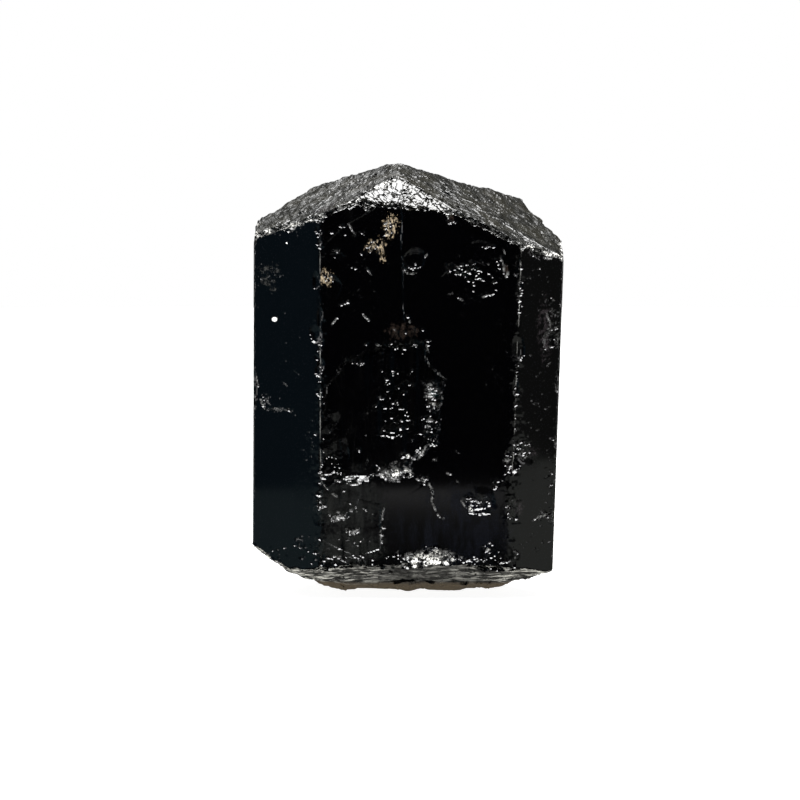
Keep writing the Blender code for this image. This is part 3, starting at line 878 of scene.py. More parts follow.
# chips that bite through an edge: point on it, outward direction, half sizes across and along, depth
EDGE_CHIPS = (
    ((-8.7, -12.3, 37.4), (-0.5, -1.0, 0.3), (0.4, 0.5, 0.16)),
    ((-8.7, -12.3, 36.2), (-0.5, -1.0, 0.0), (0.35, 0.6, 0.14)),
    ((-8.7, -12.3, 31.2), (-0.5, -1.0, 0.0), (0.45, 1.0, 0.16)),
    ((-8.7, -12.3, 28.0), (-0.5, -1.0, 0.0), (0.5, 1.0, 0.18)),
    ((-8.9, -12.2, 26.3), (-0.6, -1.0, 0.0), (0.8, 1.0, 0.24)),
    ((-8.7, -12.3, 23.2), (-0.5, -1.0, 0.0), (0.45, 1.0, 0.18)),
    ((-8.7, -12.3, 14.2), (-0.5, -1.0, 0.0), (0.35, 1.2, 0.14)),
    ((10.4, -12.3, 32.9), (0.2, -1.0, 0.0), (0.4, 1.2, 0.16)),
    ((10.6, -12.3, 24.6), (0.5, -1.0, 0.0), (0.4, 1.4, 0.16)),
    ((10.6, -12.3, 21.2), (0.5, -1.0, 0.0), (0.45, 1.3, 0.2)),
    ((10.2, -12.3, 13.2), (0.5, -1.0, 0.0), (0.6, 0.9, 0.26)),
    ((10.1, -12.3, 8.8), (0.5, -1.0, 0.0), (0.6, 0.9, 0.2)),
    ((-15.3, -8.6, 20.2), (-1.0, -0.4, 0.0), (1.3, 2.0, 0.34)),
    ((15.0, -10.0, 25.4), (1.0, -0.6, 0.0), (0.9, 0.9, 0.4)),
    ((14.9, -9.9, 21.6), (1.0, -0.6, 0.0), (0.6, 1.3, 0.28)),
    ((14.4, -9.9, 8.0), (1.0, -0.6, 0.0), (1.2, 0.6, 0.42)),
    ((14.6, -9.9, 13.6), (1.0, -0.6, 0.0), (0.5, 2.2, 0.24)),
    ((7.9, 0.0, 39.9), (0.5, -0.1, 1.0), (1.2, 0.8, 0.22)),
    ((13.6, -1.9, 36.3), (0.9, 0.4, 0.8), (1.0, 0.7, 0.12)),
    ((15.2, -6.0, 34.9), (1.0, 0.0, 0.8), (1.4, 0.6, 0.3)),
    ((-7.4, -1.0, 40.3), (-0.3, 0.2, 1.0), (1.2, 0.8, 0.2)),
    ((-15.3, -4.6, 36.3), (-1.0, 0.0, 0.8), (2.2, 0.8, 0.5)),
    ((-15.3, -8.4, 35.2), (-1.0, -0.5, 0.8), (0.9, 0.8, 0.34)),
    ((9.8, 6.0, 36.4), (0.8, 0.6, 0.6), (1.5, 1.0, 0.5)),
    ((-11.5, 5.4, 36.2), (-0.7, 0.7, 0.6), (1.6, 0.9, 0.45)),
    ((-0.6, 12.4, 33.5), (0.0, 1.0, 0.8), (1.2, 0.9, 0.45)),
)
EDGE_CHIP_REACH = 1.6
EDGE_CHIP_WARP = 0.3
for centre, outward, (half_width, half_height, chip_depth) in EDGE_CHIPS:
    carve(everywhere, np.array(centre), outward, 0.0, EDGE_CHIP_REACH * max(half_width, half_height),
          shell(half_width, half_height, chip_depth), EDGE_CHIP_WARP)

# single pits on the front face: chart place, half sizes in chart steps, turn
PITS = (
    (343, 228, 3.5, 1.6, 0), (337, 252, 5, 1.5, 0), (348, 303, 2, 1.4, 0), (348.5, 306.5, 2, 1.2, 0),
    (342, 305, 3.5, 1, 5), (361.5, 255, 1.5, 1.5, 0), (378, 255.5, 1.7, 1.5, 0),
    (367.3, 271, 1.7, 1.7, 0), (403.4, 270, 2, 1.8, 0), (450.5, 224, 4.5, 1.8, 0),
    (450, 269.5, 4.8, 2.4, -15), (445.5, 266, 1.5, 2, 0), (460, 274, 5, 1.5, -20),
    (464.5, 276.8, 3.6, 1.5, 0), (472, 263.5, 3.2, 1.7, -12), (472, 268, 2.6, 2, 0),
    (478, 271.5, 3.6, 1.5, -5), (476, 275, 1.7, 1.6, 0), (469, 281, 2.8, 1.6, -30),
    (473.5, 286, 1.8, 1.2, 0), (494, 283, 2.8, 1.7, 20), (488, 247.5, 6, 1.8, 0),
    (408, 317, 1.8, 1.8, 0), (415.8, 331, 1.5, 1.5, 0), (423, 330, 1.4, 1.2, 0),
    (427, 341, 2.4, 1.3, 0), (421.6, 344, 2.3, 2, 0), (421.6, 348, 1.7, 1.7, 0),
    (393, 347.8, 4.8, 1.7, 2), (399.5, 344.3, 3, 1.8, 0), (406, 343.3, 2.2, 1.2, 30),
    (384.5, 350.8, 1.5, 1.5, 0), (381.5, 354, 1.7, 1.6, 0), (356, 358.5, 5.2, 1.5, -8),
    (355, 363, 3.2, 1.5, -30), (361, 363.5, 2.6, 1.4, 28), (367, 344, 2.6, 1.3, 30),
    (409, 384, 2.8, 1.8, -20), (414.5, 385, 1.7, 1.2, 0), (398, 387.5, 2.3, 1.3, 0),
    (412.5, 371, 1.6, 1.5, 0), (404.5, 393, 1.9, 2.2, 30), (381.5, 398.7, 3, 1.3, 0),
    (396.5, 401.5, 1.7, 1.6, 0), (393, 403, 2.2, 1.1, 20), (427.5, 384, 2.4, 2, 0),
    (432, 387, 6.5, 5.2, 12), (427, 398.5, 2.6, 1.4, 0), (432, 406.5, 6, 2.6, 10),
    (431.6, 413, 2.4, 1.4, 0), (384.5, 408, 2.8, 1.2, -30), (400.5, 428, 2.6, 1.8, 0),
    (394, 434.6, 6, 1.8, 6), (386, 430, 3, 1.5, -18), (391, 431.5, 2.8, 1.5, -18),
    (359, 449.5, 2.3, 2.3, 0), (328, 455.5, 1.5, 1.5, 0), (331.5, 455.5, 1.8, 1.5, 0),
    (335, 457, 1.8, 1.2, 0), (322.5, 475.5, 3.8, 1.9, 0), (404.5, 454.5, 3.8, 2.6, 14),
    (402.5, 460, 1.7, 1.5, 0), (412, 440, 1.5, 1.5, 0), (372.5, 466.5, 1.5, 1.5, 0),
    (357, 481.3, 3.3, 1.2, 0), (344, 490, 3.2, 1.1, 0),
    (323, 504, 3, 1.5, 0), (337.5, 517, 5.8, 2.7, 0), (349, 531, 1.8, 4.2, 35),
    (356, 529.5, 4.4, 2.2, 22), (339.5, 546, 1.7, 2.8, -10), (328, 546.5, 1.5, 1.5, 0),
    (366, 508, 1.5, 1.3, 0), (353, 544, 1.5, 1.5, 0), (472.6, 511, 4, 1.8, 0),
    (484, 513, 7, 1.5, 0), (483, 510, 5, 1.4, 8), (489.6, 501, 1.5, 1.5, 0),
    (508, 453, 2.2, 4, 10), (511, 465.5, 3.5, 1.6, 0), (508, 470.6, 1.8, 1.3, 0),
    (495, 486, 2.3, 2.4, 0), (503, 479, 1.4, 1.4, 0), (499.5, 480.5, 1.1, 2.6, 25),
    (488, 549.5, 4, 1.7, 0), (442, 551, 6, 3.6, 8), (449, 555, 4, 2.4, 0),
    (430, 553.5, 3.5, 2.4, 20), (437, 558, 5.5, 1.6, 0), (420, 556, 3.5, 2.2, 0),
    (412, 558, 3.5, 2, -10), (405, 551, 2.4, 2.4, 0), (400, 555, 3.2, 2, 0),
    (460, 556.5, 3.2, 2.6, 0), (466, 560, 4, 1.6, 10), (472, 556, 2.8, 2, 0),
)
PIT_WIDER = 1.15
PIT_HIGHER = 1.2
PIT_REACH = 1.7
PIT_DEPTH = 0.9                            # in half heights
PIT_WARP = 0.1
PIT_CRUSHED = 0.12
for u, v, half_width, half_height, turn in PITS:
    x, z = chart(u, v)
    size_a = PIT_WIDER * half_width * STEP
    size_b = PIT_HIGHER * half_height * STEP
    carve(on_front, (x, FRONT_Y, z), front_normal, turn, PIT_REACH * max(size_a, size_b),
          pit(size_a, size_b, PIT_DEPTH * size_b), PIT_WARP, PIT_CRUSHED, True)

# fine scores and cracks on the front: chart places of the two ends, half width and depth in millimetres
SCORES = (
    (347, 222, 356, 239, 0.12, 0.08), (351, 228, 367, 237, 0.08, 0.03), (329, 252, 343, 252, 0.09, 0.05),
    (338, 317, 331, 326, 0.16, 0.12), (361, 313, 370, 322, 0.13, 0.09), (367, 271, 372, 276, 0.11, 0.08),
    (404, 270, 408.5, 275, 0.13, 0.1), (408, 275, 418, 274, 0.1, 0.05), (424, 260, 428, 254, 0.13, 0.07),
    (480, 299, 496, 293.5, 0.12, 0.08), (446, 296, 455, 293, 0.1, 0.04), (456, 296.5, 464, 302, 0.12, 0.06),
    (501, 258, 505, 276, 0.14, 0.12), (505.5, 280, 508.5, 271, 0.14, 0.14), (503.5, 250, 505, 256, 0.1, 0.07),
    (409, 318, 409.6, 324, 0.1, 0.06), (425, 341, 429, 355, 0.1, 0.05), (425, 354, 431, 370, 0.12, 0.06),
    (431, 368, 448, 381, 0.14, 0.07), (441, 390, 442, 400, 0.12, 0.07), (442, 400, 439, 408, 0.12, 0.06),
    (438, 455, 431, 461, 0.1, 0.03), (429, 442, 416, 460, 0.14, 0.1), (319.7, 479, 330, 491, 0.13, 0.07),
    (330, 491, 339, 497, 0.13, 0.06), (415, 477, 421, 480, 0.13, 0.1), (421, 480, 427, 479, 0.14, 0.12),
    (428, 481, 433.5, 494, 0.14, 0.12), (433.5, 493, 431.5, 501, 0.13, 0.1),
    (431.5, 500, 436, 511, 0.13, 0.12),
    (436, 511, 442, 518, 0.13, 0.1), (442, 518, 445, 516, 0.1, 0.07), (459, 497, 469, 508, 0.13, 0.12),
    (469, 508, 474, 512, 0.15, 0.14), (431, 457, 439, 461, 0.1, 0.04), (455, 449, 461, 454, 0.1, 0.04),
    (445, 471, 454, 475, 0.12, 0.06), (454, 478, 460, 482.5, 0.1, 0.04), (383.5, 504, 382, 522, 0.12, 0.07),
    (381, 522, 381.5, 548, 0.12, 0.07), (368, 455, 365, 473, 0.1, 0.03), (332, 478, 344, 482, 0.09, 0.07),
    (344, 482, 361, 484, 0.09, 0.07), (337, 556, 348, 562, 0.12, 0.07),
    (332, 516, 346, 517.5, 0.24, 0.16), (345, 526, 350, 532, 0.16, 0.1),
    (350, 532, 359, 527, 0.18, 0.12), (319, 497, 322, 505, 0.1, 0.06),
    (450, 221, 446, 216, 0.1, 0.08), (364, 208, 368, 214, 0.1, 0.08), (368, 214, 371, 205, 0.1, 0.07),
)
SCORE_NARROWING = 0.75
for u1, v1, u2, v2, half_width, score_depth in SCORES:
    score("front", chart(u1, v1), chart(u2, v2), SCORE_NARROWING * half_width, score_depth)

# scores on the side faces: face, then as on the front
SIDE_SCORES = (
    ("front_left", 254, 375, 257.5, 392, 0.1, 0.07), ("front_left", 258.5, 400, 265, 412.5, 0.13, 0.1),
    ("front_left", 264, 402, 270, 407, 0.08, 0.04), ("front_left", 292, 369, 300, 378, 0.07, 0.03),
    ("front_left", 281, 383, 288, 387, 0.09, 0.05), ("front_left", 265, 411.5, 292, 410, 0.07, 0.04),
    ("front_right", 535, 519, 549, 514.5, 0.13, 0.1), ("front_right", 532, 522, 540, 516, 0.1, 0.06),
    ("front_right", 540, 350, 556, 347, 0.07, 0.04), ("front_right", 547, 370, 553, 361, 0.07, 0.04),
    ("front_right", 523, 461, 531, 452, 0.09, 0.05), ("front_right", 513, 447, 522, 441, 0.08, 0.04),
    ("front_right", 546, 310, 553, 332, 0.1, 0.06), ("front_right", 529, 245, 545, 252, 0.1, 0.06),
)
for name, u1, v1, u2, v2, half_width, score_depth in SIDE_SCORES:
    score(name, chart(u1, v1), chart(u2, v2), half_width, score_depth)

# knocked places on the front: middle and spread on the chart, number of pits, their sizes in millimetres
KNOCKS = (
    (402, 331, 13, 8, 14, 0.05, 0.13), (398, 385, 22, 38, 46, 0.05, 0.13),
    (429, 430, 7, 14, 46, 0.07, 0.22), (395, 469, 13, 7, 44, 0.16, 0.45), (424, 478, 5, 6, 40, 0.06, 0.14),
    (346, 479, 13, 3, 6, 0.05, 0.12), (337, 515, 8, 4, 14, 0.07, 0.18), (351, 530, 6, 5, 14, 0.06, 0.16),
    (345, 500, 18, 10, 26, 0.04, 0.1), (372, 512, 9, 26, 40, 0.04, 0.1), (382, 526, 1.4, 20, 18, 0.04, 0.1),
    (432, 396, 7, 12, 18, 0.1, 0.26), (478, 501, 12, 7, 40, 0.05, 0.12), (496, 484, 5, 6, 20, 0.05, 0.13),
    (508, 461, 4, 12, 50, 0.05, 0.15), (511, 507, 3, 8, 12, 0.05, 0.12), (328, 277, 5, 7, 30, 0.05, 0.12),
    (375, 247, 9, 6, 32, 0.05, 0.12), (390, 228, 6, 9, 34, 0.05, 0.14), (338, 235, 8, 8, 14, 0.04, 0.1),
    (412, 268, 7, 4, 16, 0.04, 0.1), (355, 300, 20, 14, 30, 0.04, 0.08), (488, 546, 6, 5, 30, 0.05, 0.13),
    (470, 300, 24, 16, 20, 0.04, 0.08), (330, 440, 10, 30, 40, 0.04, 0.09),
    (500, 360, 14, 40, 26, 0.04, 0.08),
    (436, 554, 20, 5, 90, 0.1, 0.3), (405, 555, 18, 4, 50, 0.08, 0.22), (478, 558, 16, 3, 30, 0.06, 0.16),
    (345, 558, 30, 5, 50, 0.05, 0.14), (350, 540, 24, 10, 20, 0.05, 0.1), (504, 560, 10, 5, 26, 0.05, 0.14),
    (456, 268, 12, 6, 9, 0.08, 0.2), (470, 274, 12, 7, 7, 0.08, 0.2),
    (404, 346, 25, 4, 34, 0.07, 0.18), (430, 388, 5, 6, 30, 0.08, 0.2), (390, 420, 24, 24, 60, 0.05, 0.12),
    (360, 262, 34, 30, 26, 0.04, 0.1), (480, 275, 26, 18, 26, 0.05, 0.12), (500, 268, 5, 16, 26, 0.05, 0.13),
)


KNOCK_STRETCHES = (1.0, 3.2)
KNOCK_TURN = 35.0                          # degrees to either side
KNOCK_REACH = 1.8
MOST_CRUSHED = 0.8


def knock(among, places, outward, smallest, largest):
    """Small random angular pits at a row of places, most of them small."""
    for place in places:
        size = smallest + (largest - smallest) * random.random() ** 2
        stretch = random.uniform(*KNOCK_STRETCHES)
        carve(among, place, outward, random.uniform(-KNOCK_TURN, KNOCK_TURN), KNOCK_REACH * size * stretch,
              pit(size * stretch, size, PIT_DEPTH * size),
              PIT_WARP, MOST_CRUSHED * random.random() ** 4, True)


def strewn(u, v, spread_u, spread_v, count):
    """Places strewn round a chart place, thickest at the middle and none past the spreads."""
    return chart(
        np.clip(random.normal(u, 0.5 * spread_u, count), u - spread_u, u + spread_u),
        np.clip(random.normal(v, 0.5 * spread_v, count), v - spread_v, v + spread_v))


for *spot, smallest, largest in KNOCKS:
    x, z = strewn(*spot)
    knock(on_front, np.column_stack([x, np.full(len(x), FRONT_Y), z]), front_normal, smallest, largest)

# knocked places on the side faces: face, then as on the front
SIDE_KNOCKS = (
    ("front_left", 270, 277, 13, 15, 34, 0.04, 0.1), ("front_left", 279, 411, 15, 2, 26, 0.05, 0.12),
    ("front_left", 263, 403, 5, 8, 14, 0.06, 0.16), ("front_left", 285, 330, 28, 90, 20, 0.04, 0.09),
    ("front_left", 304, 545, 14, 14, 26, 0.05, 0.13), ("front_left", 308, 440, 8, 20, 14, 0.05, 0.12),
    ("front_left", 270, 555, 16, 8, 20, 0.05, 0.12), ("front_left", 300, 235, 20, 14, 12, 0.04, 0.1),
    ("front_right", 554, 325, 8, 24, 50, 0.05, 0.15), ("front_right", 521, 448, 9, 9, 46, 0.06, 0.17),
    ("front_right", 548, 516, 8, 5, 40, 0.06, 0.16), ("front_right", 538, 300, 22, 60, 40, 0.04, 0.1),
    ("front_right", 535, 420, 20, 60, 40, 0.04, 0.1), ("front_right", 552, 480, 5, 40, 30, 0.05, 0.14),
    ("front_right", 517, 552, 4, 6, 16, 0.05, 0.13), ("front_right", 535, 540, 18, 16, 16, 0.04, 0.1),
)
for name, *spot, smallest, largest in SIDE_KNOCKS:
    x, z = strewn(*spot)
    knock(on_sides, face_point(name, x, z), prism_normals[list(PRISM_FACES).index(name)], smallest, largest)

# beads: fine knocks along the upright edges and along the cap's and the base's front rims
starts, steps = corner_lines()
# upright edges: which one, outward direction, number of beads, lowest and highest
UPRIGHT_BEADS = (
    (9, (-0.5, -1.0, 0.0), 150, 4.2, 38.2),
    (0, (0.5, -1.0, 0.0), 130, 13.6, 35.4),
    (8, (-1.0, -0.6, 0.0), 90, 5.0, 35.0),
    (1, (1.0, -0.6, 0.0), 110, 4.0, 34.0),
)
BEAD_SIZES = (0.05, 0.15)
BEAD_CLUMPS = 0.45                         # lumps to a millimetre
CLUMP_LIMIT = -0.25                        # beads are left out where the grain is lower
for corner, outward, count, low_end, high_end in UPRIGHT_BEADS:
    z = np.sort(random.uniform(low_end, high_end, count))
    place = starts[corner] + z[:, None] * steps[corner]
    beads = np.column_stack([place, z])
    clump = grain(beads, BEAD_CLUMPS, 51 + corner) > CLUMP_LIMIT
    knock(everywhere, beads[clump], outward, *BEAD_SIZES)

FRONT_RIM = (-8.8, 10.6, 520)              # left end, right end, number of beads
FACET_HALF_WIDTH = 4.4                     # none under the front facet
RIM_BAND = 0.35
RIM_OUTWARD = (0.0, -1.0, 0.5)
RIM_SIZES = (0.05, 0.14)
x = np.sort(random.uniform(*FRONT_RIM))
x = x[np.abs(x - APEX[0]) > FACET_HALF_WIDTH]
rim = np.column_stack([x, np.full(len(x), FRONT_Y)])
rim_height = cap_height(rim)
knock(on_front, np.column_stack([rim, rim_height - random.uniform(0.0, RIM_BAND, len(x))]),
      RIM_OUTWARD, *RIM_SIZES)
SIDE_RIMS = (-12.3, -8.8, 180)             # front end, back end, number of beads
SIDE_RIM_HEIGHT = 36.5
SIDE_RIM_LIFT = (0.0, 0.0, 0.7)
SIDE_RIM_SIZES = (0.05, 0.16)
y = random.uniform(*SIDE_RIMS)
for index, corner in ((9, 9), (1, 0)):     # front_left and front_right, and their corners at the front
    normal = prism_normals[index]
    x = (face_offsets[index] - y * normal[1] - SIDE_RIM_HEIGHT * normal[2]) / normal[0]
    rim = np.column_stack([x, y])
    inside = np.abs(x) > abs(starts[corner][0])
    rim_places = np.column_stack([rim, cap_height(rim)])[inside]
    knock(everywhere, rim_places, normal + SIDE_RIM_LIFT, *SIDE_RIM_SIZES)

# ---------------------------------------------------------------------------
# Relief of the crystal: the etched cap, the crumpled front facet, the layered
# break of the base and the rubble over it. Plates stand at their own tilts.
# ---------------------------------------------------------------------------
# low swells of the cap: place, reach and height
BULGES = (
    ((10.2, 2.4, 38.8), 1.9, 0.36),
    ((8.0, 0.4, 40.2), 1.7, 0.34),
    ((-6.5, -1.5, 41.0), 2.6, 0.12),
    ((-12.0, 0.5, 38.4), 2.2, 0.14),
)
# plates: height, plates to a millimetre, seed, share of the height that is tilt
LEFT_PLATES = (0.15, (1.2, 1.4, 2.4), 61, 0.85)
RIGHT_PLATES = (0.13, (0.5, 1.4, 2.2), 76, 0.85)
ETCHED_GRAINS = ((0.045, (2.2, 2.2, 3.0), 62), (0.14, (0.7, 0.7, 0.7), 63), (0.06, (1.3, 1.3, 1.3), 75))
FACET_PLATES = (0.1, (1.5, 2.2, 3.0), 67, 0.9)
FACET_GRAINS = ((0.03, 2.6, 68),)
FACET_RIDGES = (1.3, 2.0, 2.4)             # lumps to a millimetre of the grain whose middle is a ridge
RIDGE = 0.07
CAP_RAISE = 0.1
LEFT_TO_RIGHT = 1.5
FACET_EDGE = (-0.1, 0.0)
CAP_EDGE = (0.14, 0.02)
BEVEL_EDGE = (-0.096, 0.024)
BEVEL_PLATES = (0.14, (3.0, 3.0, 3.0), 64, 0.95)
BEVEL_WEAR = 0.08
BEVEL_FLECKS = (0.9, 4.0, 3.0, 73)
SLANT = np.array([[0.7, 0.0, 0.7], [0.0, 1.0, 0.0], [-0.7, 0.0, 0.7]])
MOST_BRUISED = 2.0                         # stone crushed in full is 1, and crushed white 2


def flecks_in(points, middle, rise, frequency, seed, most=1.0):
    """Flecks: middle + rise x grain, cut off at 0 and at the most."""
    return np.clip(middle + rise * grain(points, frequency, seed), 0.0, most)


slanted = points @ SLANT
over_facet = under_cap + face_depths(points)[:, face_names.index("front_facet")]
facet_share = share_of(over_facet, *FACET_EDGE)
on_right = np.clip((across - APEX[0]) / LEFT_TO_RIGHT, 0.0, 1.0)
etched = (1.0 - on_right) * facets(points, *LEFT_PLATES) + on_right * facets(slanted, *RIGHT_PLATES)
etched += grains(points, ETCHED_GRAINS)
crumpled = facets(slanted, *FACET_PLATES) + grains(points, FACET_GRAINS)
crumpled += RIDGE * np.exp(-(grain(slanted, FACET_RIDGES, 74) / RIDGE) ** 2)
cap_share = share_of(under_cap, *CAP_EDGE)
depth += cap_share * (etched - CAP_RAISE + facet_share * (crumpled + CAP_RAISE - etched))
bevel_share = share_of(bevelled, *BEVEL_EDGE)
depth += bevel_share * (BEVEL_WEAR + facets(points, *BEVEL_PLATES))
bruise = np.maximum(bruise, bevel_share * flecks_in(points, *BEVEL_FLECKS, MOST_BRUISED))
for bulge_place, bulge_reach, bulge in BULGES:
    away = np.linalg.norm(points - bulge_place, axis=1) / bulge_reach
    depth -= cap_share * bulge * np.exp(-away ** 2)

# the break is layered along X, with a crevice over the earthy lobe that it stands on
LAYERS = ((0.22, (0.26, 1.2, 1.0), 65), (0.15, (0.5, 3.0, 1.0), 66))
LAYER_PLATES = (0.14, (1.1, 2.2, 1.0), 69, 0.8)
LAYER_WEAR = 0.08
BREAK_EDGE = (0.25, 0.0)
STANDING_EDGE = (0.02, 0.32)
LOBE_TOP = 1.25
LOBE_TOP_GRAINS = ((0.12, (0.5, 0.1, 1.0), 70),)
CREVICE_WIDTH = 0.13
CREVICE_DEPTH = 0.42
CREVICE_MIDDLE = 2.5
CREVICE_SPAN = (6.5, 4.0)                  # how far from its middle it is gone, and is at its full depth
LIP_BACK = 4.2                             # the lip ends this far behind the front of the standing patch
LIP_END = 1.4
LIP_HEIGHT = 0.7
LIP_DEPTH = 0.4
LIP_WAVES = (0.45, 0.45, 1.0)
LIP_LEAST = 0.05
break_place = np.column_stack([across, deep, np.zeros(len(points))])
over_base = height - break_height(across, deep)
base_share = share_of(over_base, *BREAK_EDGE) * share_of(height, *STANDING_EDGE)
lobe_top = LOBE_TOP + grains(break_place, LOBE_TOP_GRAINS)
crevice = np.exp(-((height - lobe_top) / CREVICE_WIDTH) ** 2)
crevice *= share_of(np.abs(across - CREVICE_MIDDLE), *CREVICE_SPAN) * (deep < 0.0)
layered = grains(break_place, LAYERS) + facets(points, *LAYER_PLATES)
depth += base_share * (LAYER_WEAR + layered + CREVICE_DEPTH * crevice)
lip = np.clip((PATCH_FRONT + LIP_BACK - deep) / LIP_END, 0.0, 1.0) * share_of(height, LIP_HEIGHT, 0.0)
depth += lip * np.maximum(LIP_DEPTH + 0.5 * grain(break_place, LIP_WAVES, 77), LIP_LEAST)

# rubble along the front's lower rim, highest right of the middle: rise, middle and half width of its heaps
HEAPS = ((1.15, 2.4, 2.2), (0.5, -6.2, 1.6))
RUBBLE_HEIGHT = 0.2
RUBBLE_END = 0.5
RUBBLE_HALF_WIDTH = 10.5
RUBBLE_WAVES = ((0.6, (1.1, 0.1, 1.0), 71),)
RUBBLE_SPIKES = ((0.8, (2.0, 0.5, 2.4), 84),)
RUBBLE_PLATES = (0.36, (1.7, 1.7, 2.0), 72, 0.9, (0.0, 0.0, 0.7))
RUBBLE_WEAR = 0.2
CHALKY_MIDDLE = 2.2
CHALKY_SPAN = (4.68, 1.08)                 # how far from their middle the chalky heaps end, and are in full
CHALKY_FLECKS = (-0.4, 6.0, (1.7, 1.7, 2.6), 78)
FACE_SKIN = 0.5                            # how far behind the front face a point still counts as on it
rubble_height = RUBBLE_HEIGHT + grains(break_place, RUBBLE_WAVES) + grains(points, RUBBLE_SPIKES)
for heap, heap_middle, heap_width in HEAPS:
    rubble_height += heap * np.exp(-((across - heap_middle) / heap_width) ** 2)
rubble = np.clip((rubble_height - over_base) / RUBBLE_END, 0.0, 1.0)
rubble *= (deep < FRONT_Y + FACE_SKIN) & (np.abs(across) < RUBBLE_HALF_WIDTH)
depth += rubble * (RUBBLE_WEAR + facets(points, *RUBBLE_PLATES))
chalky = flecks_in(points, *CHALKY_FLECKS) * share_of(np.abs(across - CHALKY_MIDDLE), *CHALKY_SPAN)
bruise = np.maximum(bruise, MOST_BRUISED * rubble * chalky)

# places on the front where the stone is crushed white: chart place and reach
WHITENED = (
    (397, 474, 14, 5), (432, 556, 22, 5.5), (432, 386, 5, 4), (431, 405, 5, 2), (338, 517, 6, 2),
    (405, 455, 4, 2), (322.5, 475.5, 3, 1.4), (425, 479, 3, 3), (488, 548, 3, 1.4), (468, 509, 5, 2.4),
)
CARVED_FROM = 0.06                         # only stone that is sunk deeper than this is whitened
WHITE_PLATES = (0.1, (2.8, 2.4, 3.6), 82, 0.95, (0.0, 0.0, 0.5))
WHITE_WEAR = 0.05
WHITE_TEARS = ((0.9, (1.5, 1.5, 2.2), 83),)
WHITE_FLECKS = (-0.6, 7.0, (2.8, 2.8, 4.2), 79)
FLECKS_FADE = (1.375, 0.75)                # in reaches: where the flecks are gone, and in full
PLATES_FADE = (1.25, 0.625)
whitened = np.zeros(len(points))
torn = grains(points, WHITE_TEARS)
flecks = flecks_in(points, *WHITE_FLECKS)
carved = (depth > CARVED_FROM) & (deep < FRONT_Y + FACE_SKIN)
for u, v, reach_u, reach_v in WHITENED:
    x, z = chart(u, v)
    far = torn + np.hypot((across - x) / (reach_u * STEP), (height - z) / (reach_v * STEP))
    bruise = np.maximum(bruise, MOST_BRUISED * flecks * carved * share_of(far, *FLECKS_FADE))
    whitened = np.maximum(whitened, carved * share_of(far, *PLATES_FADE))
depth += whitened * (WHITE_WEAR + facets(points, *WHITE_PLATES))

# faint upright ribs on the faces behind
RIB_DEPTH = 0.05
BROAD_RIBS = (0.9, 0.9, 1.0)
LOW_SWELLS = (0.25, 0.25, 1.0)
RIBBED_FROM = (-8.0, -6.0)
OVER_BREAK = (0.0, 0.5)
UNDER_CAP = (0.1, 0.6)
ribs = 0.5 + 0.5 * grain(break_place, BROAD_RIBS, 80) + 0.4 * grain(break_place, LOW_SWELLS, 81)
behind_share = share_of(deep, *RIBBED_FROM) * share_of(over_base, *OVER_BREAK)
behind_share *= share_of(under_cap, *UNDER_CAP)
depth += RIB_DEPTH * behind_share * np.clip(ribs, 0.0, 1.0)

# the faintest relief is left flat, so that the faces stay mirrors
FLAT_UNDER = 0.002
depth = np.where(np.abs(depth) < FLAT_UNDER, 0.0, depth - FLAT_UNDER * np.sign(depth))

surface = points + inward * depth[:, None]
quads, triangles = grid_faces(len(points), around)
crystal = bpy.data.objects.new("schorl_crystal", mesh_from_grid("fine_grid", surface, quads, triangles))
SMALL_FACE = 0.03                          # square millimetres
BROKEN_EDGE = (0.15, 0.0)
SHARES = {"crushed": bruise, "broken": share_of(over_base, *BROKEN_EDGE)}
for share_name, share in SHARES.items():
    of_points = crystal.data.attributes.new(share_name, "FLOAT", "POINT")
    of_points.data.foreach_set("value", share.astype(np.float32))
bpy.context.scene.collection.objects.link(crystal)

# the fine grid is thinned, still in millimetres, first of all where it is flat, and then brought to metres
MOST_TRIANGLES = 197000
thin = crystal.modifiers.new("thin", "DECIMATE")
thin.ratio = MOST_TRIANGLES / (2 * len(quads) + len(triangles))
graph = bpy.context.evaluated_depsgraph_get()
thinned = bpy.data.meshes.new_from_object(crystal.evaluated_get(graph), depsgraph=graph)
thick = crystal.data
crystal.modifiers.clear()
crystal.data = thinned
bpy.data.meshes.remove(thick)
thinned.name = "schorl_crystal"
places = np.empty(3 * len(thinned.vertices), dtype=np.float32)
thinned.vertices.foreach_get("co", places)

# a small face takes the mean of its corners' shares, a large one the least of them
corners = np.empty(len(thinned.loops), dtype=np.int32)
thinned.loops.foreach_get("vertex_index", corners)
first_corners = np.empty(len(thinned.polygons), dtype=np.int32)
thinned.polygons.foreach_get("loop_start", first_corners)
areas = np.empty(len(thinned.polygons), dtype=np.float32)
thinned.polygons.foreach_get("area", areas)
counts = np.diff(np.append(first_corners, len(corners)))
for share_name in SHARES:
    share = np.empty(len(thinned.vertices), dtype=np.float32)
    thinned.attributes[share_name].data.foreach_get("value", share)
    least = np.minimum.reduceat(share[corners], first_corners)
    mean = np.add.reduceat(share[corners], first_corners) / counts
    thinned.attributes.remove(thinned.attributes[share_name])
    of_faces = thinned.attributes.new(share_name, "FLOAT", "FACE")
    of_faces.data.foreach_set("value", np.where(areas < SMALL_FACE, mean, least))
thinned.vertices.foreach_set("co", places * MM)
thinned.shade_flat()
thinned.update()
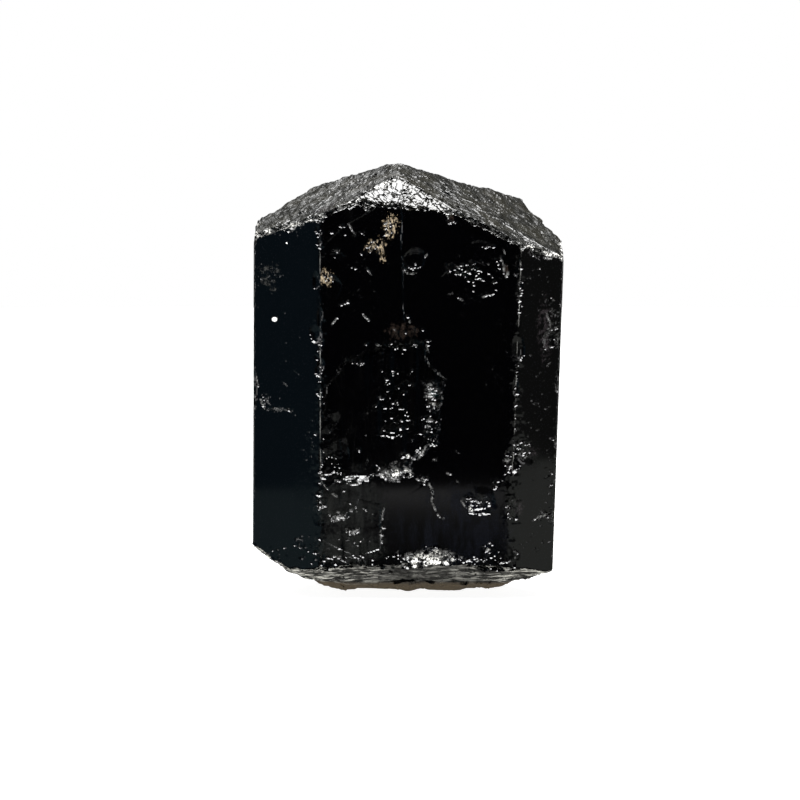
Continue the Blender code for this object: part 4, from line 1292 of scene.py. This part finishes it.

# ---------------------------------------------------------------------------
# Finish of the crystal: glassy near-black stone, dull on the etched cap and on
# the broken base, with stained, hazy and crushed places on the front, and painted light: highlights along the
# front's upright edges, two glints on the front left face and a bluish shade low on the right of the front.
# ---------------------------------------------------------------------------
GLASS = (0.0003, 0.0003, 0.0004, 1.0)
ETCHED = (0.006, 0.006, 0.0048, 1.0)
SMUDGE = (0.0125, 0.0118, 0.0085, 1.0)
# bluish tone of the painted shade low on the right of the front
PAINTED_BLUE_SHADE = (0.0012, 0.0015, 0.0026, 1.0)
CRUSHED = (0.15, 0.15, 0.145, 1.0)
CHALKY = (0.7, 0.69, 0.65, 1.0)
BROKEN = (0.52, 0.51, 0.45, 1.0)
DARK_LAYER = (0.022, 0.021, 0.017, 1.0)
EARTHY = (0.115, 0.086, 0.048, 1.0)
HAZE = (0.0045, 0.0048, 0.0044, 1.0)
# pale grey of the painted highlights along the front's upright edges
EDGE_HIGHLIGHT = (0.085, 0.085, 0.08, 1.0)
MOTTLE = (0.017, 0.0165, 0.0145, 1.0)
PINKISH = (0.012, 0.010, 0.011, 1.0)
# white of the two painted glints on the front left face
PAINTED_GLINT = (0.75, 0.75, 0.72, 1.0)
STAIN = (0.27, 0.205, 0.12, 1.0)
STAIN_DARK = (0.02, 0.013, 0.006, 1.0)
RUST = (0.013, 0.0095, 0.0075, 1.0)
TEAL = (0.001, 0.008, 0.009, 1.0)
IOR = 1.64

FINE_RATIO = 2.7                           # how much finer a grain's fine noise is
FINE_SHARE = 0.6
TEAR_SCALE = 3.0
PATCH_EDGE = (1.15, 0.75)                  # in reaches: where a patch is gone, and in full
PATCH_SKIN = 1.6                           # how far off its face a patch reaches


def new_group(name, inputs, outputs):
    """Empty shader node group with named inputs and outputs."""
    group = bpy.data.node_groups.new(name, "ShaderNodeTree")
    for socket, kind in inputs:
        group.interface.new_socket(socket, in_out="INPUT", socket_type="NodeSocket" + kind)
    for socket, kind in outputs:
        group.interface.new_socket(socket, in_out="OUTPUT", socket_type="NodeSocket" + kind)
    return group, group.nodes.new("NodeGroupInput"), group.nodes.new("NodeGroupOutput")


def arithmetic(tree, operation, one, two=None):
    """Maths node fed by sockets or by plain numbers."""
    node = add_node(tree, "ShaderNodeMath", operation=operation)
    for socket, value in enumerate((one, two)):
        if value is None:
            continue
        if isinstance(value, (int, float)):
            node.inputs[socket].default_value = value
        else:
            tree.links.new(value, node.inputs[socket])
    return node.outputs[0]


def between(tree, value, low, high):
    """Share from 0 to 1 as a value goes from low to high."""
    node = add_node(tree, "ShaderNodeMapRange", {"From Min": low, "From Max": high})
    tree.links.new(value, node.inputs["Value"])
    return node.outputs["Result"]


# uneven grain of a rough surface: a coarse and a fine noise added together
rough_grain, entry, leave = new_group(
    "rough_grain", (("Place", "Vector"), ("Scale", "Float"), ("Stretch", "Vector")), (("Height", "Float"),))
stretched = add_node(rough_grain, "ShaderNodeVectorMath", operation="MULTIPLY")
rough_grain.links.new(entry.outputs["Place"], stretched.inputs[0])
rough_grain.links.new(entry.outputs["Stretch"], stretched.inputs[1])
coarse = add_node(rough_grain, "ShaderNodeTexNoise", {"Detail": 1.0})
fine = add_node(rough_grain, "ShaderNodeTexNoise", {"Detail": 2.0})
rough_grain.links.new(stretched.outputs[0], coarse.inputs["Vector"])
rough_grain.links.new(stretched.outputs[0], fine.inputs["Vector"])
rough_grain.links.new(entry.outputs["Scale"], coarse.inputs["Scale"])
finer = arithmetic(rough_grain, "MULTIPLY", entry.outputs["Scale"], FINE_RATIO)
rough_grain.links.new(finer, fine.inputs["Scale"])
fine_height = arithmetic(rough_grain, "MULTIPLY", fine.outputs["Fac"], FINE_SHARE)
grain_height = arithmetic(rough_grain, "ADD", coarse.outputs["Fac"], fine_height)
rough_grain.links.new(grain_height, leave.inputs["Height"])

# patch: an oval place with a broken edge, 1 inside and 0 outside
patch, entry, leave = new_group(
    "patch", (("Place", "Vector"), ("Middle", "Vector"), ("Reach", "Vector"), ("Raggedness", "Float")),
    (("Mask", "Float"),))
offset = add_node(patch, "ShaderNodeVectorMath", operation="SUBTRACT")
share = add_node(patch, "ShaderNodeVectorMath", operation="DIVIDE")
far = add_node(patch, "ShaderNodeVectorMath", operation="LENGTH")
torn = add_node(patch, "ShaderNodeTexNoise", {"Scale": TEAR_SCALE, "Detail": 3.0})
patch.links.new(entry.outputs["Place"], offset.inputs[0])
patch.links.new(entry.outputs["Middle"], offset.inputs[1])
patch.links.new(offset.outputs[0], share.inputs[0])
patch.links.new(entry.outputs["Reach"], share.inputs[1])
patch.links.new(share.outputs[0], far.inputs[0])
patch.links.new(entry.outputs["Place"], torn.inputs["Vector"])
tear = arithmetic(patch, "SUBTRACT", torn.outputs["Fac"], 0.5)
tear = arithmetic(patch, "MULTIPLY", tear, entry.outputs["Raggedness"])
torn_far = arithmetic(patch, "ADD", far.outputs["Value"], tear)
patch.links.new(between(patch, torn_far, *PATCH_EDGE), leave.inputs["Mask"])

schorl = bpy.data.materials.new("black_schorl")
schorl.use_nodes = True
tree = schorl.node_tree
stone = tree.nodes["Principled BSDF"]
stone.inputs["IOR"].default_value = IOR
where = add_node(tree, "ShaderNodeTexCoord")
place = add_node(tree, "ShaderNodeVectorMath", operation="SCALE")
place.inputs["Scale"].default_value = 1.0 / MM
tree.links.new(where.outputs["Object"], place.inputs[0])
place = place.outputs[0]
place_parts = add_node(tree, "ShaderNodeSeparateXYZ")
tree.links.new(place, place_parts.inputs[0])
facing = add_node(tree, "ShaderNodeSeparateXYZ")
tree.links.new(where.outputs["Normal"], facing.inputs[0])


def use_grain(scale, stretch=(1.0, 1.0, 1.0)):
    """Grain of the stone at a number of lumps to a millimetre."""
    node = add_node(tree, "ShaderNodeGroup", node_tree=rough_grain)
    node.inputs["Scale"].default_value = scale
    node.inputs["Stretch"].default_value = stretch
    tree.links.new(place, node.inputs["Place"])
    return node.outputs["Height"]


def grain_mask(scale, stretch, low, high):
    """Share from 0 to 1 as the grain of the stone goes from low to high."""
    return between(tree, use_grain(scale, stretch), low, high)


def overlap(one, two):
    """Product of two masks."""
    return arithmetic(tree, "MULTIPLY", one, two)


def use_patches(raggedness, patches, name="front"):
    """The strongest of a row of patches on a prism face, each a chart place and reach."""
    strongest = 0.0
    for u, v, reach_u, reach_v in patches:
        node = add_node(tree, "ShaderNodeGroup", node_tree=patch)
        node.inputs["Middle"].default_value = face_point(name, *chart(u, v))
        node.inputs["Reach"].default_value = (reach_u * STEP, PATCH_SKIN, reach_v * STEP)
        node.inputs["Raggedness"].default_value = raggedness
        tree.links.new(place, node.inputs["Place"])
        strongest = arithmetic(tree, "MAXIMUM", node.outputs["Mask"], strongest)
    return strongest


def outside_face(name):
    """How far a place is outside a face's plane, negative inside."""
    index = face_names.index(name)
    dot = add_node(tree, "ShaderNodeVectorMath", operation="DOT_PRODUCT")
    tree.links.new(place, dot.inputs[0])
    dot.inputs[1].default_value = face_normals[index]
    return arithmetic(tree, "SUBTRACT", dot.outputs["Value"], float(face_offsets[index]))


# where each finish is: the cap and its front facet, the broken base, and stone under the front face
CAP_FINISH = (-0.5, -0.32)
CAP_FACING = (0.2, 0.35)
FACET_FINISH = (-0.36, -0.26)
BASE_FACING = (-0.05, -0.3)
BASE_FINISH = (0.4, 0.8)
SUNK = (0.03, 0.12)
SUNK_LIMIT = (1.6, 1.3)
FAR_BELOW = -1000.0
above_cap = FAR_BELOW
for name in CAP_FACES:
    above_cap = arithmetic(tree, "MAXIMUM", outside_face(name), above_cap)
cap_mask = overlap(between(tree, above_cap, *CAP_FINISH), between(tree, facing.outputs["Z"], *CAP_FACING))
facet_mask = overlap(between(tree, outside_face("front_facet"), *FACET_FINISH), cap_mask)
broken = add_node(tree, "ShaderNodeAttribute", attribute_name="broken").outputs["Fac"]
base_mask = overlap(between(tree, facing.outputs["Z"], *BASE_FACING), between(tree, broken, *BASE_FINISH))
sunk = arithmetic(tree, "ADD", place_parts.outputs["Y"], -FRONT_Y)
broken_mask = overlap(between(tree, sunk, *SUNK), between(tree, sunk, *SUNK_LIMIT))

# patches: how ragged their edges are, and each one's chart place and reach. Grains of the masks: lumps
# to a millimetre, stretch, and the heights between which the mask rises
STAINED = (2.2, (
    (391, 226, 7, 10), (390, 236, 4, 5), (371, 247, 6, 6), (379, 247, 6, 7), (383, 259, 3.5, 4.5),
    (324, 277, 4, 8), (329, 279, 5, 7)))
STAIN_FLECKS = (4.0, (1.0, 1.0, 0.55), 0.78, 0.86)
STAIN_TONES = (5.5, (1.0, 1.0, 0.6), 0.62, 1.0)
MOTTLED = (1.6, ((263, 272, 6, 5), (275, 271, 5, 6), (267, 283, 7, 4), (273, 290, 5, 3)), "front_left")
MOTTLE_FLECKS = (2.4, (1.0, 1.0, 1.0), 0.74, 1.0)
PINK = (1.6, ((534, 452, 6, 4), (519, 507, 5, 8), (545, 330, 8, 30)), "front_right")
PINK_FLECKS = (2.2, (1.0, 1.0, 1.0), 0.75, 1.0)
# two painted glints on the front left face: white dots that stand in for light caught by tiny chips
GLINT_SPOTS = (0.3, ((274, 321, 2.7, 2.3), (286.5, 245, 0.85, 0.85)), "front_left")
HAZY = (1.8, ((350, 505, 34, 24), (350, 545, 34, 18), (480, 499, 12, 6), (512, 508, 6, 10)))
HAZE_STREAKS = (1.1, (1.6, 1.0, 0.14), 0.55, 0.85)
RUSTY = (2.0, ((402, 331, 14, 8), (433, 403, 5, 3), (451, 220, 4, 3), (506, 272, 2.2, 6)))
RUST_FLECKS = (2.6, (1.0, 1.0, 0.6), 0.66, 1.0)
GREENISH = (0.6, ((433, 394, 5, 3),))
# painted shade: a bluish tone in streaks low on the right of the front
BLUE_SHADE_PLACE = (0.6, ((455, 526, 56, 40),))
BLUE_SHADE_STREAKS = (0.7, (1.6, 1.0, 0.45), 0.65, 0.95)
stain_mask = overlap(use_patches(*STAINED), grain_mask(*STAIN_FLECKS))
mottle_mask = overlap(use_patches(*MOTTLED), grain_mask(*MOTTLE_FLECKS))
pink_mask = overlap(use_patches(*PINK), grain_mask(*PINK_FLECKS))
painted_glint_mask = use_patches(*GLINT_SPOTS)
haze_mask = overlap(use_patches(*HAZY), grain_mask(*HAZE_STREAKS))
rust_mask = overlap(use_patches(*RUSTY), grain_mask(*RUST_FLECKS))
teal_mask = use_patches(*GREENISH)
painted_blue_shade_mask = overlap(use_patches(*BLUE_SHADE_PLACE), grain_mask(*BLUE_SHADE_STREAKS))

# the base: pale layers, palest at its two ends, over an earthy lobe
SMUDGES = (0.35, (1.0, 1.0, 1.0), 0.75, 0.95)
PALE_LAYERS = (2.4, (0.2, 1.0, 1.6), 0.76, 1.0)
PALE_LEFT = (-2.0, -8.0)
PALE_RIGHT = (4.0, 11.0)
LEAST_PALE = 0.28
EARTHY_UNDER = (1.5, 1.1)
etched_tint = mix(tree, grain_mask(*SMUDGES), ETCHED, SMUDGE)
ends = arithmetic(tree, "MAXIMUM", between(tree, place_parts.outputs["X"], *PALE_LEFT),
                  between(tree, place_parts.outputs["X"], *PALE_RIGHT))
ends = arithmetic(tree, "ADD", arithmetic(tree, "MULTIPLY", ends, 1.0 - LEAST_PALE), LEAST_PALE)
broken_tint = mix(tree, overlap(grain_mask(*PALE_LAYERS), ends), DARK_LAYER, BROKEN)
broken_tint = mix(tree, between(tree, place_parts.outputs["Z"], *EARTHY_UNDER), broken_tint, EARTHY)
stain_tint = mix(tree, grain_mask(*STAIN_TONES), STAIN_DARK, STAIN)

# painted highlights along the upright edges round the front: pale lines that stand in for light caught on
# their rounding, in beads and stretches
HIGHLIT_EDGES = (("front", "front_left"), ("front", "front_right"), ("right", "front_right"))
LINE = (0.04, 0.015)
LINE_FROM = (11.5, 14.0)                   # the front's own edges are highlighted above this height only
BEADS = (2.0, (1.0, 1.0, 0.5), 0.64, 0.92)
BEADS_FRONT = (-7.0, -8.0)
STRETCHES = (0.4, (0.2, 0.2, 1.0), 0.7, 0.86)
painted_edge_highlight_mask = 0.0
for one, two in HIGHLIT_EDGES:
    from_edge = arithmetic(tree, "SUBTRACT", outside_face(one), outside_face(two))
    line = between(tree, arithmetic(tree, "ABSOLUTE", from_edge), *LINE)
    if one == "front":
        line = overlap(line, between(tree, place_parts.outputs["Z"], *LINE_FROM))
    painted_edge_highlight_mask = arithmetic(tree, "MAXIMUM", line, painted_edge_highlight_mask)
beads = overlap(grain_mask(*BEADS), between(tree, place_parts.outputs["Y"], *BEADS_FRONT))
painted_edge_highlight_mask = overlap(overlap(painted_edge_highlight_mask, beads), grain_mask(*STRETCHES))

# crushed stone, and chalk-white stone where it is crushed most
CRUSHED_SHARES = (0.15, 0.7)
CRUSHED_FLECKS = (5.0, (1.0, 1.0, 1.0), 0.7, 0.84)
CHALK_SHARES = (1.0, 1.3)
CHALK_FLECKS = (5.0, (1.0, 1.0, 1.0), 0.76, 0.82)
crushing = add_node(tree, "ShaderNodeAttribute", attribute_name="crushed").outputs["Fac"]
bruise_mask = overlap(between(tree, crushing, *CRUSHED_SHARES), grain_mask(*CRUSHED_FLECKS))
chalk_mask = overlap(between(tree, crushing, *CHALK_SHARES), grain_mask(*CHALK_FLECKS))

# the finishes lie over one another in this order
colour = GLASS
for mask, tint in (
        (haze_mask, HAZE), (painted_blue_shade_mask, PAINTED_BLUE_SHADE), (rust_mask, RUST), (teal_mask, TEAL), (cap_mask, etched_tint),
        (base_mask, broken_tint), (stain_mask, stain_tint), (painted_edge_highlight_mask, EDGE_HIGHLIGHT), (bruise_mask, CRUSHED),
        (chalk_mask, CHALKY), (mottle_mask, MOTTLE), (pink_mask, PINKISH), (painted_glint_mask, PAINTED_GLINT)):
    colour = mix(tree, mask, colour, tint)
tree.links.new(colour, stone.inputs["Base Color"])

roughness = 0.05
for mask, dullness in (
        (broken_mask, 0.07), (painted_blue_shade_mask, 0.12), (haze_mask, 0.26), (cap_mask, 0.2), (facet_mask, 0.09),
        (base_mask, 0.5), (stain_mask, 0.6), (painted_edge_highlight_mask, 0.3), (bruise_mask, 0.28), (mottle_mask, 0.4),
        (painted_glint_mask, 0.5)):
    roughness = mix(tree, mask, roughness, dullness)
tree.links.new(roughness, stone.inputs["Roughness"])

# bumps: lumps to a millimetre, stretch, where, and drop in millimetres
off_facet = arithmetic(tree, "SUBTRACT", cap_mask, facet_mask)
normal = None
for scale, stretch, mask, drop in (
        (2.2, (1.0, 1.0, 1.5), off_facet, 0.1), (2.6, (0.5, 1.8, 1.8), base_mask, 0.12),
        (4.5, (1.0, 1.0, 0.35), broken_mask, 0.003), (3.0, (1.4, 1.0, 0.07), haze_mask, 0.03)):
    bump = add_node(tree, "ShaderNodeBump", {"Distance": drop * MM})
    tree.links.new(mask, bump.inputs["Strength"])
    tree.links.new(use_grain(scale, stretch), bump.inputs["Height"])
    if normal is not None:
        tree.links.new(normal, bump.inputs["Normal"])
    normal = bump.outputs["Normal"]
tree.links.new(normal, stone.inputs["Normal"])
thinned.materials.clear()
thinned.materials.append(schorl)

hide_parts("tourmaline_crystal")
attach(crystal, "root")
